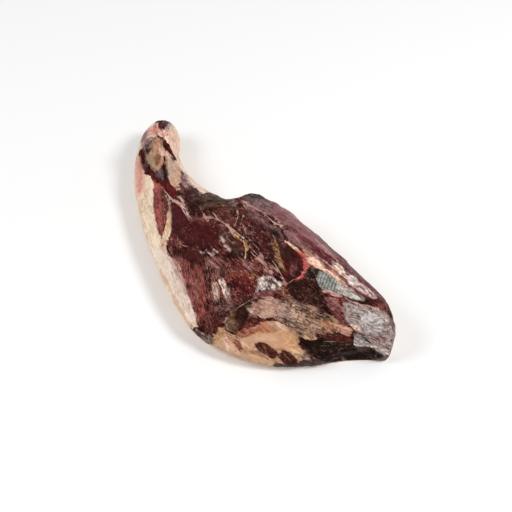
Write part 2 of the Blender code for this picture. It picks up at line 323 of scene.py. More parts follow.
bandMarks = [
    ("lean", "lean side", [(171, 198), (176, 198), (200, 222), (212, 300), (214, 322), (204, 334),
     (197, 324), (193.5, 314), (190.5, 304), (188.5, 294), (186, 285), (183, 276), (180, 268), (176, 260),
     (171, 256.5), (167, 256), (165.8, 252), (167, 245), (168, 237), (171, 230), (172, 220), (171, 210)],
     {}),
    ("cream", "band", [(130, 150), (139, 176), (148, 172), (152, 178), (154, 184), (153.3, 195),
     (153.5, 208), (154.5, 218), (156.5, 228), (159, 236), (163, 238), (164, 228), (168, 219),
     (170.5, 211), (171.5, 220), (170.5, 229), (168, 237), (167, 245), (165.8, 252), (166, 256),
     (171, 257), (176, 261), (180, 268), (183, 276), (186, 285), (188.5, 294), (190.5, 304), (193.5, 314),
     (196.5, 322), (190, 324), (181, 316), (160, 300), (120, 240)], {}),
    ("blush", "rosy top of the band", [(136, 150), (141, 168), (145, 176), (144, 190), (140, 198),
     (136, 190)], {"thin": 1.2}),
    ("blush", "rosy stripe of the band", [(139.5, 166), (142, 172), (143, 186), (140.5, 190),
     (138.5, 178)], {"thin": 1.6}),
    ("blush", "rosy edge of the band", [(160, 238), (166, 240), (165, 256), (172, 262), (184, 284),
     (190, 304), (186, 306), (178, 288), (168, 268), (162, 252)], {"thin": 1.2}),
    ("sinew", "streaks of the band", [(180, 282), (188, 292), (192, 306), (196, 320), (189, 318),
     (183, 304)], {"thin": 0.7}),
    ("olive", "green tinge", [(160, 237), (164, 238), (163.5, 245), (161, 247), (159.5, 242)],
     {"thin": 0.1}),
    ("olive", "foot of the band", [(186, 321), (193, 326), (199, 333), (208, 342), (199, 340),
     (191, 331)], {"thin": 0.5}),
    ("rose", "pink muscle", [(154, 181), (157, 180.5), (160, 185), (164, 191), (167.5, 198), (169.5, 205),
     (170, 211), (168, 216), (165, 220), (163.5, 227), (163.2, 233), (162.5, 237.5), (159.5, 236),
     (157, 230), (155.2, 222), (154, 213), (153.3, 204), (153, 196), (153.6, 188)], {"rise": 0.3}),
    ("wine", "red in the pink muscle", [(160, 190), (165, 196), (168, 204), (168, 212), (163, 214),
     (160, 205)], {"thin": 0.7}),
    ("butter", "wedge of fat", [(170.3, 205), (171.5, 214), (171.8, 224), (169, 232), (166.5, 237),
     (164, 234), (164.5, 226), (167, 219), (169.5, 212)], {"thin": 1}),
    ("wine", "smooth red muscle", [(172, 199), (180, 206), (186, 213), (190, 221), (200, 225), (211, 222),
     (214, 230), (213, 241), (205, 246), (196, 245), (186, 243), (180, 238), (176, 230), (172.5, 217)],
     {"rise": 0.4, "lip": 5}),
    ("rose", "fibres beside the band", [(184, 262), (194, 262), (202, 270), (208, 282), (209, 300),
     (207, 322), (203, 330), (198, 322), (194, 310), (190, 298), (186, 282), (182, 270)], {"thin": 0.25}),
    ("wine", "dark foot", [(205, 312), (214, 306), (221, 312), (222, 322), (216, 332), (209, 336),
     (203, 330)], {"thin": 1.2}),
    ("lean", "foot under the band", [(194, 326), (204, 330), (214, 335), (214, 345), (202, 344),
     (192, 336)], {}),
    ("film", "grey foot", [(194, 327), (202, 332), (212, 336), (214, 343), (204, 343), (195, 336)],
     {"thin": 1}),
]
plateauMarks = [
    ("cream", "far rim", [(186, 174), (191, 176), (200, 182), (210, 190), (209, 192), (203, 192),
     (198, 189.5), (193, 187), (188.5, 182), (186.5, 178)], {"rise": 0.4}),
    ("film", "step fringe", [(180, 178), (183, 175), (187, 177), (190, 184), (196, 188), (188, 190),
     (181, 189)], {"thin": 0.9, "rise": 0.8}),
    ("soot", "brown back", [(200, 196), (208, 193), (226, 198), (238, 202), (236, 209), (222, 208),
     (206, 207), (199, 204)], {"thin": 0.75, "rise": -0.3}),
    ("sinew", "pink pale patch", [(218, 278), (222, 279), (226, 284), (229, 291), (227.5, 297),
     (223, 291), (219.5, 284)], {"thin": 0.15, "rise": 0.3}),
    ("sinew", "white tag", [(219, 237), (222, 236), (225, 239), (223.5, 242), (221, 240)], {"rise": 0.4}),
    ("sinew", "second white tag", [(223, 246), (228, 246.5), (231, 250), (230, 252), (226, 249)],
     {"rise": 0.4}),
    ("ash", "grey scab", [(261, 278), (266, 275), (272, 278), (279, 281), (284, 284), (282, 289),
     (272, 289), (262, 291), (254, 293), (257, 287)], {"thin": 1.1, "rise": 0.5}),
    ("rose", "red lobe", [(228, 272), (244, 274), (256, 282), (252, 292), (240, 298), (228, 294)],
     {"thin": -0.1}),
    ("rose", "muscle above the fold", [(250, 298), (258, 292), (268, 289), (280, 288.5), (281, 292),
     (268, 295), (258, 299), (248, 304)], {"thin": 0.4, "rise": 0.8}),
]
crestMarks = [
    ("film", "lower face", [(240, 199), (247, 204), (256, 210), (266, 217), (273, 223), (280, 228),
     (283, 233), (286, 241), (282, 241), (276, 233), (268, 227), (258, 225), (250, 219), (247, 211),
     (243, 205)], {"thin": 0.9}),
    ("film", "upper face", [(240, 197), (250, 190), (262, 192), (276, 200), (290, 208), (304, 220),
     (318, 234), (334, 249), (346, 262), (336, 262), (322, 250), (309, 240), (297, 231), (285, 226),
     (274, 217), (262, 209), (250, 203)], {}),
    ("film", "side face", [(283, 229), (297, 231), (312, 243), (324, 254), (336, 264), (326, 264),
     (314, 256), (300, 249), (287, 240)], {}),
    ("soot", "dry back", [(243, 196), (250, 190), (257, 190), (264, 196), (272, 202), (266, 205),
     (256, 202), (248, 200)], {"thin": 0.7}),
    ("wine", "red stripe", [(298, 231), (306, 235), (316, 243), (323, 250), (331, 259), (330, 264),
     (322, 260), (314, 251), (305, 243), (298, 236)], {"thin": 0.9, "rise": -0.5}),
    ("soot", "shade of the crease", [(274, 222), (280, 228), (284, 234), (287, 241)],
     {"wide": 1.8, "rise": -0.6}),
]
hollowMarks = [
    ("butter", "fat of the hollow", [(273, 242), (278, 243), (281, 249), (281, 257), (284, 263),
     (284, 268), (280, 270), (277, 264), (275, 256), (273.5, 249)], {"thin": 0.9, "rise": -0.5}),
    ("wine", "round muscle", [(281, 245), (286, 243), (291, 246), (297, 251), (301.5, 257), (303, 263),
     (302, 270), (299, 276), (296, 280), (291, 283), (286, 281), (283, 275), (284, 268), (282.5, 262),
     (280.5, 256), (280, 250)], {"rise": -3.2, "lip": 5}),
    ("soot", "dark of the hollow", [(283, 246), (289, 248), (295, 253), (298, 260), (290, 258),
     (285, 254)], {"thin": 0.5}),
    ("soot", "low dark of the hollow", [(297, 262), (301, 266), (299, 274), (294, 279), (294, 270)],
     {"thin": 0.6}),
    ("rose", "rim of the hollow", [(295, 248), (300, 252), (305, 257), (307.5, 262), (307, 268),
     (304, 273), (300, 278), (295, 281)], {"wide": 3.6, "rise": 0.8}),
    ("coral", "bright rim", [(299, 250), (304, 255), (307.5, 261), (307.5, 267), (303, 274), (299, 278)],
     {"wide": 1.8}),
    ("cream", "upper rim", [(285.5, 241), (289, 244), (294, 247), (298, 250)],
     {"wide": 1.6, "rise": 0.5}),
    ("tan", "long streak", [(302, 248), (307, 253), (313, 257), (320, 262), (327, 267), (334, 272),
     (341, 278), (346, 281)], {"wide": 3.2, "rise": 0.5}),
    ("cream", "fat of the streak", [(307, 257), (313, 258), (320, 263), (326, 268), (320, 267),
     (313, 264), (308, 262)], {"thin": 1}),
    ("amber", "ochre of the streak", [(309, 260), (314, 261), (317, 265), (312, 266)], {"thin": 0.6}),
]
sideMarks = [
    ("film", "outer strip", [(330, 244), (345, 258), (362, 275), (376, 292), (384, 303), (376, 300),
     (366, 290), (352, 279), (342, 268), (334, 258)], {"thin": 1.2}),
    ("rose", "pink strip", [(331, 251), (336, 256), (341, 263), (346, 270), (352, 276), (347, 276),
     (341, 270), (336, 262)], {"thin": 0.9}),
    ("cream", "peach patch", [(335, 261), (339, 263), (344, 268), (346, 274), (343, 277), (339, 273),
     (335, 267)], {"rise": 0.3}),
    ("coral", "red spot", [(332, 268), (336, 269.5), (336, 272), (333, 271)], {}),
    ("wine", "red streak", [(341, 274), (346, 277), (352, 283), (356, 288), (349, 285), (343, 280)],
     {"thin": 1}),
    ("film", "pale mauve", [(345, 272), (355, 277), (366, 285), (377, 297), (368, 294), (357, 288),
     (349, 281)], {"thin": 1.1}),
    ("soot", "upper crack", [(343, 266), (349, 272), (357, 276.5), (362, 279)],
     {"wide": 1.1, "rise": -1}),
    ("soot", "long crack", [(348, 282), (356, 288), (364, 292.5), (372, 296), (380, 300)],
     {"wide": 1.2, "rise": -1.2}),
    ("tan", "strip over the plate", [(313, 265), (320, 268), (329, 272), (337, 277), (345, 282.5),
     (354, 288), (364, 295)], {"wide": 2.4, "rise": 0.4}),
    ("silver", "plate", [(316, 274), (320, 270.5), (326, 272), (332, 275.5), (340, 281), (350, 287.5),
     (360, 294), (367, 300), (364, 302), (358, 300), (350, 299), (342, 295.5), (334, 291.5), (326, 290.5),
     (320, 288.5), (316, 284)], {"rise": -1.2, "lip": 2}),
    ("soot", "black end", [(306, 273), (310, 268.5), (316, 269), (320, 272), (317, 278), (313, 281),
     (309, 278)], {"rise": -2.2, "lip": 3}),
    ("soot", "upper edge of the plate", [(319, 270.5), (326, 271.8), (333, 275.5), (341, 281),
     (350, 287)], {"wide": 1.1, "rise": -0.6}),
    ("soot", "lower edge of the plate", [(342, 295), (350, 299.5), (356, 300), (362, 300.5),
     (366, 302.5)], {"wide": 1.6, "rise": -1}),
    ("soot", "left edge of the plate", [(316, 280), (318, 285), (321, 289)], {"wide": 1.4, "rise": -0.8}),
    ("soot", "brown hollow", [(286, 285), (294, 281), (304, 279), (313, 281), (320, 289), (324, 296),
     (322, 304), (314, 302), (306, 300), (298, 299), (290, 296)], {"thin": 0.45, "rise": -1.6, "lip": 5}),
    ("wine", "red of the hollow", [(296, 292), (306, 288), (316, 291), (322, 300), (318, 307), (308, 305),
     (299, 300)], {"thin": 0.4}),
    ("amber", "ochre fibres", [(281, 286), (285, 288), (288, 296), (288, 303), (284, 300), (281, 292)],
     {"thin": 0.3}),
    ("rose", "red lip", [(320, 291.5), (326, 290.8), (334, 292), (341, 296), (347, 299)],
     {"wide": 1.8, "rise": 0.6}),
    ("wine", "lower muscle", [(325, 296), (331, 294), (338, 296.5), (342.5, 302), (345, 310), (346, 318),
     (340, 320), (334, 317.5), (328, 311), (324.5, 304)], {"thin": 1.6, "rise": 0.6, "lip": 4}),
    ("rose", "light of the lower muscle", [(326, 298), (332, 296), (338, 299), (340, 305), (334, 305),
     (328, 303)], {"thin": 0.4}),
    ("film", "brown lump", [(306, 309.5), (313, 306.5), (321, 308.5), (328, 314), (327, 318),
     (318, 319.5), (310, 319), (305, 315)], {"rise": 1, "lip": 3, "thin": 0.4}),
]
foldMarks = [
    ("sinew", "pale flecks", [(291, 299), (295, 300), (300, 307), (303, 312), (299, 312), (294, 306)],
     {"thin": 0.5}),
    ("blush", "upper pad", [(251, 305), (260, 299.5), (270, 297), (279, 299), (284, 305), (284, 311),
     (276, 317), (267, 318), (259, 315), (254, 311)], {"rise": 0.25, "lip": 5}),
    ("olive", "cavity", [(227, 315.5), (234, 310.5), (242, 305.5), (250, 303.5), (254, 308), (250, 314),
     (244, 322), (241, 330), (237, 334), (231, 332.5), (226, 330.5), (225, 324)], {"rise": -3, "lip": 3}),
    ("wine", "dark of the cavity", [(237, 312), (244, 307), (250, 311), (258, 316), (264, 319),
     (258, 321), (248, 323), (242, 331), (237, 333), (236, 322)], {"rise": -2, "lip": 3}),
    # painted shade deep in the cavity
    ("soot", "depth of the cavity", [(237, 313), (243, 309), (248, 312), (246, 320), (241, 329),
     (237, 331)], {"thin": 0.9, "rise": -0.6}),
    ("sinew", "white lump", [(246.5, 312), (249, 308.5), (253, 306.5), (256, 308.5), (252, 312.5),
     (248, 315)], {"rise": 1.4, "lip": 2}),
    ("rose", "rosy fold", [(235, 334), (242, 331), (252, 326.5), (257, 328), (256, 333), (250, 338),
     (242, 337), (236, 337)], {"thin": 1}),
    ("cream", "pad", [(238, 338), (246, 338), (254, 333), (262, 330), (274, 330), (286, 331), (294, 334),
     (297, 340), (298, 348), (304, 353), (298, 356), (288, 353), (276, 348), (264, 343), (256, 344),
     (252, 349), (246, 346), (242, 341)], {"rise": 0.8, "lip": 4}),
    ("peach", "soft of the pad", [(250, 337), (258, 333), (272, 332), (286, 334), (292, 342), (294, 350),
     (284, 347), (270, 342), (258, 340), (252, 341)], {"thin": 1.5}),
    ("peach", "orange fold", [(256, 328), (262, 323.5), (270, 322), (279, 325), (286, 329), (279, 331),
     (268, 331.5), (259, 332)], {"rise": 0.8, "lip": 2}),
    ("amber", "stain of the fold", [(256, 331), (262, 325.5), (268, 327), (278, 327.5), (284, 330),
     (276, 332.5), (265, 332.5), (258, 334)], {"thin": 0.8}),
    ("cream", "pale strip", [(275, 321.5), (283, 325), (292, 328.5), (297, 332), (288, 331),
     (278, 327.5)], {"rise": 0.3}),
    ("rose", "pink thread", [(272, 320), (280, 320.5), (286, 323.5), (293, 328.5)],
     {"wide": 1.4, "rise": 0.5}),
    ("soot", "grey crack", [(284, 326), (291, 328.5), (298, 332), (306, 333.5)],
     {"wide": 1.1, "rise": -0.8}),
    ("peach", "yellow corner", [(284, 333), (291, 333), (297, 337), (296, 344), (289, 347), (284.5, 341)],
     {"thin": 1.2}),
    ("amber", "brown corner", [(277, 330.5), (286, 331), (287, 334), (279, 334)], {"thin": 0.4}),
    ("cream", "lower roll", [(212, 345), (218, 343), (224, 336), (229, 338), (233, 346), (240, 352),
     (250, 355), (262, 357), (274, 361), (276, 368), (250, 370), (226, 362), (210, 350)], {}),
    ("peach", "shade of the roll", [(232, 350), (244, 354), (258, 357), (270, 362), (262, 364),
     (246, 361), (234, 357)], {"thin": 1}),
    ("cream", "ridge of the roll", [(223, 331), (226, 336), (227.5, 344), (229.5, 353)],
     {"wide": 3, "rise": 0.7}),
    ("tan", "groove of the roll", [(229, 335), (230.5, 343), (232, 350)], {"wide": 1.1, "rise": -0.9}),
    ("tan", "groove below the nuggets", [(238, 349), (246, 352.5), (255, 354.5), (262, 357), (268, 360)],
     {"wide": 1.6, "rise": -1}),
    ("cream", "strip of the roll", [(233, 337), (242, 342), (250, 347), (258, 351), (266, 356),
     (272, 360), (264, 358), (254, 352), (244, 349), (236, 343)], {"rise": 0.5}),
    ("tan", "yellow hem", [(211, 346), (213, 340), (216, 332), (219, 326.5), (223, 325), (225.5, 330),
     (223, 335), (219, 340), (216, 346)], {"rise": 0.4}),
    ("amber", "brown of the hem", [(220, 338), (224, 337), (225, 342), (220, 345)], {"thin": 0.8}),
    ("sinew", "pale scales", [(225, 318), (228, 316), (230, 322), (232, 328), (228, 330), (226, 325)],
     {"thin": 0}),
    ("wine", "small nugget", [(233.5, 341), (237.5, 340.5), (241, 344), (243.5, 350), (240, 352),
     (236.5, 347)], {"rise": 0.8, "lip": 2}),
    ("coral", "red mark", [(243, 345.5), (247, 347), (247, 349.5), (244, 349)], {}),
    ("wine", "first nugget", [(255.5, 345), (258, 342.5), (264, 343), (271, 346.5), (276, 350),
     (277, 354), (273, 358.5), (267, 356), (261, 351.5), (257, 348.5)], {"rise": 2, "lip": 3}),
    ("wine", "second nugget", [(279, 349.5), (287, 351.5), (293.5, 355), (294.5, 360), (291, 363),
     (284, 360), (279, 355)], {"rise": 2, "lip": 3}),
    ("wine", "third nugget", [(277, 356), (281, 359), (288, 363), (293, 364), (290, 367.5), (281, 365),
     (276.5, 360)], {"rise": 1.2, "lip": 2}),
    ("wine", "fourth nugget", [(294.5, 352.5), (299, 355), (298, 360), (295.5, 358)],
     {"rise": 0.8, "lip": 2}),
    # dark hem and grey hem: the underside along the near bottom edge, darkened as painted shade
    ("lean", "dark hem", [(274, 362), (286, 365), (300, 361), (312, 357), (330, 362), (330, 376),
     (300, 380), (270, 378)], {}),
    ("film", "grey hem", [(276, 362), (286, 367), (300, 365), (312, 358), (328, 363), (322, 372),
     (300, 378), (276, 376)], {"thin": 0.6}),
    ("ash", "pale lumps", [(298, 352), (304, 351.5), (310, 355), (310, 360), (304, 359), (300, 357)],
     {"thin": 0.6, "rise": 0.8}),
]
buttMarks = [
    ("ash", "dry end", [(342, 301), (352, 303), (362, 306), (372, 308), (383, 311), (394, 318),
     (396, 332), (392, 348), (384, 346), (376, 340), (366, 336), (354, 330), (346, 320), (344, 310)], {}),
    ("ash", "lower dry end", [(352, 334), (362, 333), (372, 340), (380, 346), (392, 350), (390, 358),
     (380, 354), (372, 347.5), (362, 347), (355, 348)], {}),
    ("film", "mauve edge", [(383, 310), (392, 318), (396, 332), (390, 338), (386, 326), (384, 316)],
     {"thin": 0.6}),
    ("rose", "pink streak", [(349, 301), (358, 303.5), (368, 307), (378, 309.5)], {"wide": 1.6}),
    ("cream", "peach chips", [(349, 323.5), (356, 325), (363, 330), (360, 333), (353, 330)],
     {"thin": 1, "rise": 0.5}),
    ("amber", "ochre patch", [(316, 322), (325, 321), (334, 325), (340, 331), (332, 335), (322, 331),
     (316, 327)], {"thin": 1}),
    ("peach", "peach patch", [(340, 329), (348, 328.5), (352, 333), (350, 337), (342, 335)], {}),
    ("wine", "red over the pocket", [(318, 332), (325, 332), (336, 334), (348, 337), (354, 341),
     (340, 340), (326, 341), (318, 338)], {"thin": 1.2, "rise": -0.8}),
    ("soot", "crack of the end", [(349, 328), (354, 331), (362, 335), (368, 341), (372, 347)],
     {"wide": 0.9, "rise": -0.5}),
    # painted shade: the pocket under the lip of the butt is coloured near black as well as sunk
    ("soot", "pocket", [(297.5, 338.5), (304, 340.5), (314, 341), (320, 337.5), (332, 339.5), (345, 340),
     (353, 341), (356, 347.5), (366, 346.8), (372.5, 349), (377, 353), (386, 356.5), (372, 361),
     (354, 365), (340, 366), (328, 363), (318, 358.5), (310, 353.5), (302, 347)],
     {"rise": -6.5, "lip": 5}),
    ("film", "grey in the pocket", [(328, 344), (340, 341), (352, 343), (352, 349), (340, 352),
     (330, 350)], {"thin": 0.1}),
    ("wine", "red in the pocket", [(300, 343), (312, 346), (320, 352), (312, 352), (304, 348)],
     {"thin": 0.2}),
    ("cream", "thread over the pocket", [(325, 341.3), (332, 341), (338, 341.5)],
     {"wide": 0.9, "rise": 0.8}),
]
veinMarks = [
    # broken bands of sinew on the lean
    ("sinew", "long vein", [(159, 184), (163, 189), (166, 195), (170, 199), (174, 202)],
     {"wide": 1.4, "rise": 0.3}),
    ("sinew", "wide of the long vein", [(171, 199), (175, 202), (180, 204), (183, 208)],
     {"wide": 3, "rise": 0.4}),
    ("sinew", "end of the long vein", [(182, 207), (186, 212), (189, 217), (191, 222)],
     {"wide": 2.4, "rise": 0.4}),
    ("sinew", "fleck by the vein", [(179, 197), (182, 200), (184.5, 204)], {"wide": 2.2, "rise": 0.3}),
    ("sinew", "edge of the pink muscle", [(168.5, 200), (170, 208), (170.6, 220)],
     {"wide": 1.1, "rise": 0.3}),
    ("sinew", "ring of the neck", [(200, 194), (199, 202), (201, 209), (205, 217), (210, 223)],
     {"wide": 1.1, "rise": 0.2}),
    ("sinew", "first of the fork", [(211, 211), (216, 216), (222, 221), (229, 227)],
     {"wide": 1.7, "rise": 0.4}),
    ("sinew", "second of the fork", [(210, 217.5), (216, 218.5), (221, 221)], {"wide": 1.2, "rise": 0.3}),
    ("sinew", "stem of the fork", [(228, 226), (233, 231), (238, 236), (244, 240)],
     {"wide": 2.2, "rise": 0.4}),
    ("butter", "yellow of the knot", [(233, 233), (238, 237), (243, 240), (246, 239)],
     {"wide": 2.4, "rise": 0.4}),
    ("sinew", "knot", [(241, 237), (244, 234.5), (247, 237), (246, 241), (243, 241)], {"rise": 0.5}),
    ("butter", "fall of the knot", [(244.5, 240), (246, 246), (246.5, 252), (244.5, 259)],
     {"wide": 2.2, "rise": 0.3}),
    ("sinew", "right of the knot", [(247, 237.5), (253, 242), (259, 250), (264, 259)],
     {"wide": 1.3, "rise": 0.3}),
    ("sinew", "upright", [(237.5, 210), (237, 217), (235, 226)], {"wide": 1.3, "rise": 0.3}),
    ("sinew", "second upright", [(243.5, 214.5), (241, 221), (239.4, 230)], {"wide": 1.2, "rise": 0.3}),
    ("sinew", "small bow", [(241, 222), (244, 226), (245.5, 233)], {"wide": 1.1, "rise": 0.2}),
    ("sinew", "crest line", [(243, 200), (250, 205), (258.5, 210), (267, 216), (274, 221)],
     {"wide": 1.1, "rise": 0.2}),
    ("sinew", "bright of the crest line", [(272, 221), (277, 224), (281.5, 226)],
     {"wide": 2.6, "rise": 0.3}),
    ("sinew", "second crest line", [(264, 205), (270, 212), (279, 222)], {"wide": 0.9}),
    ("sinew", "crest speck", [(287, 215), (290, 221)], {"wide": 1.3}),
    ("sinew", "pale line to the hollow", [(266, 258), (272, 266), (278.5, 273), (286, 284)],
     {"wide": 1.3, "rise": 0.4}),
    ("sinew", "second pale line", [(252, 252), (260, 259), (268, 268), (274, 277)],
     {"wide": 1, "rise": 0.3}),
    ("sinew", "flap edge", [(225, 321), (229, 315), (235, 309), (245, 303.5), (258, 297.5), (272, 297)],
     {"wide": 1.3, "rise": 0.8}),
]
allMarks = (bandMarks + shankMarks + plateauMarks + crestMarks + hollowMarks + sideMarks + foldMarks
            + buttMarks + veinMarks)

# dark and light tone, roughness, how ragged the edge is in pixels, its softness,
# and the pattern that breaks up its edge and tone
hamFinish = {
    "rose": ((112, 36, 32), (196, 116, 98), 0.4, 1.8, 0.4, "stringy"),
    "cream": ((216, 178, 148), (246, 226, 202), 0.42, 0.8, 0.3, "even"),
    "blush": ((222, 150, 130), (238, 192, 172), 0.42, 1.8, 1.6, "even"),
    "peach": ((190, 132, 96), (228, 180, 146), 0.36, 1.4, 1.4, "even"),
    "butter": ((166, 112, 54), (236, 202, 142), 0.34, 1.4, 0.8, "broken"),
    "tan": ((120, 76, 52), (200, 158, 128), 0.4, 1.2, 0.6, "even"),
    "olive": ((60, 40, 22), (146, 122, 88), 0.5, 1.6, 1.0, "broken"),
    "amber": ((122, 62, 32), (200, 130, 78), 0.3, 1.8, 0.9, "stringy"),
    "wine": ((40, 5, 8), (104, 26, 22), 0.26, 1.0, 0.4, "even"),
    "film": ((76, 42, 44), (152, 108, 108), 0.4, 1.8, 0.8, "stringy"),
    "ash": ((104, 80, 74), (226, 212, 204), 0.6, 1.6, 0.6, "broken"),
    "coral": ((178, 62, 58), (226, 132, 112), 0.3, 1.0, 0.5, "even"),
    "silver": ((82, 78, 72), (196, 192, 182), 0.34, 0.7, 0.3, "broken"),
    "sinew": ((168, 118, 106), (240, 218, 206), 0.34, 1.6, 0.5, "broken"),
    # soot: dark crusts and cracks, and painted shade in the pocket, the cavity, the crease and beside the
    # blue patch
    "soot": ((14, 5, 4), (62, 36, 26), 0.34, 1.4, 0.6, "broken"),
}
finishNames = list(hamFinish)
marking = {
    "wander": 0.7,  # pixels by which edges wander
    "wanderSize": 0.008,  # metres
    "seed": 11,
    "thinner": -0.45,  # how much more broken up the thin patches are
    "floor": -6.0,  # the least that a finish has, in pixels
    "fat": 6.0,  # the most that the fat has of its own
    "away": -0.2,  # how far a marked face may turn from the picture
    "turning": 40,  # how fast a mark fades there
    "margin": 8,  # pixels round an outline that are looked at
    "lip": (-0.3, 1.5),  # pixels from the edge over which a mark rises
}


def rounded(points, closed, turns=2):
    # cuts the corners of an outline
    points = np.array(points, float)
    for turn in range(turns):
        after = np.roll(points, -1, axis=0) if closed else points[1:]
        before = points if closed else points[:-1]
        cut = np.stack([before * 0.75 + after * 0.25, before * 0.25 + after * 0.75], axis=1)
        cut = cut.reshape(-1, 2)
        points = cut if closed else np.concatenate([points[:1], cut[1:-1], points[-1:]])
    return points


def edgeDistance(places, points, closed):
    # pixels to the nearest edge, and inside or not
    best = np.full(len(places), 1e9)
    inside = np.zeros(len(places), bool)
    ends = np.roll(points, -1, axis=0) if closed else points[1:]
    for start, end in zip(points, ends):
        way = end - start
        off = places - start
        share = np.clip((off @ way) / max(way @ way, 1e-9), 0, 1)
        best = np.minimum(best, ((off - share[:, None] * way) ** 2).sum(axis=1))
        if closed:
            crossing = (start[1] > places[:, 1]) != (end[1] > places[:, 1])
            down = way[1] if abs(way[1]) > 1e-9 else 1e-9
            edge = (places[:, 1] - start[1]) * way[0] / down + start[0]
            inside ^= crossing & (places[:, 0] < edge)
    return np.sqrt(best), inside


def nearOutline(places, outline, margin):
    low, high = outline.min(axis=0) - margin, outline.max(axis=0) + margin
    return ((places > low) & (places < high)).all(axis=1)


def markedSkin(points, normals):
    # the signed distance to every finish, and how far each point rises
    places = toPicture(points)
    for column in (0, 1):
        wander = unevenness(points / marking["wanderSize"], marking["seed"] + column)
        places[:, column] += marking["wander"] * wander
    toEye = viewFrom - points
    toEye /= np.linalg.norm(toEye, axis=1)[:, None]
    facing = (normals * toEye).sum(axis=1)
    seen = (facing - marking["away"]) * marking["turning"]
    fields = {name: np.full(len(points), marking["floor"]) for name in finishNames}
    fields["cream"] = np.clip(fatness, marking["floor"], marking["fat"])
    rise = np.zeros(len(points))
    for finish, name, outline, how in allMarks:
        closed = "wide" not in how
        outline = rounded(outline, closed)
        near = nearOutline(places, outline, marking["margin"]) & (seen > marking["floor"])
        near = np.flatnonzero(near)
        if len(near) == 0:
            continue
        gap, inside = edgeDistance(places[near], outline, closed)
        inward = np.where(inside, gap, -gap) if closed else how["wide"] / 2 - gap
        inward = np.minimum(inward, seen[near])
        if "rise" in how:
            foot, lip = marking["lip"]
            rise[near] += how["rise"] * easeBetween(foot, how.get("lip", lip), inward)
        if "thin" in how:
            inward = np.minimum(inward, how["thin"] + marking["thinner"])
        else:
            for other in finishNames:
                if other != finish:
                    fields[other][near] = np.minimum(fields[other][near], -inward)
        if finish != "lean":
            fields[finish][near] = np.maximum(fields[finish][near], inward)
    return fields, rise, places, facing


fields, markRise, skinPlaces, facing = markedSkin(skinPoints, skinNormals)
print("marks laid on:", len(allMarks))

# where the grain turns: name, outline and way in the picture, and curl in millimetres
turnedGrain = {
    "regions": {
        "striated muscle": ([(174, 248), (192, 252), (208, 262), (226, 276), (232, 292), (226, 308),
                             (212, 322), (206, 334), (196, 322), (184, 290), (174, 266)],
                            (0.24, 0.97), 0.0),
        "fold": ([(222, 334), (227, 317), (236, 308), (248, 301), (260, 295), (274, 289), (286, 284),
                  (300, 280), (314, 281), (322, 292), (332, 294), (344, 299), (354, 332), (396, 352),
                  (392, 372), (270, 390), (200, 352)], (0.90, 0.44), 0.0),
        "dry end": ([(344, 300), (362, 303), (384, 309), (402, 330), (398, 356), (372, 348),
                     (352, 334)], (0.90, 0.44), 5.0),
    },
    "perPixel": 1.41,  # millimetres
    "perDepth": 300.0,  # millimetres for each metre away from the camera
    "bend": (1.2, 0.02, 61),  # millimetres, size in metres, seed
    "curl": (0.012, (62, 63, 64)),  # size in metres, seeds
}


def turned(grain, places, points, settings):
    # lays the grain of each region its own way
    scale, (bend, bendSize, bendSeed) = settings["perPixel"], settings["bend"]
    curlSize, curlSeeds = settings["curl"]
    depth = (viewFrom - points) @ viewBack * settings["perDepth"]
    bent = bend * unevenness(points / bendSize, bendSeed)[:, None]
    curl = np.stack([unevenness(points / curlSize, seed) for seed in curlSeeds], axis=1) * (1, 1, 0)
    for outline, way, curling in settings["regions"].values():
        way = np.array(way)
        across = np.array([-way[1], way[0]])
        inside = edgeDistance(places, np.array(outline, float), True)[1]
        laid = np.stack([places @ way * scale, places @ across * scale, depth], axis=1) + bent
        grain = np.where(inside[:, None], laid + curl * curling, grain)
    return grain


grain = turned(grain, skinPlaces, skinPoints, turnedGrain)

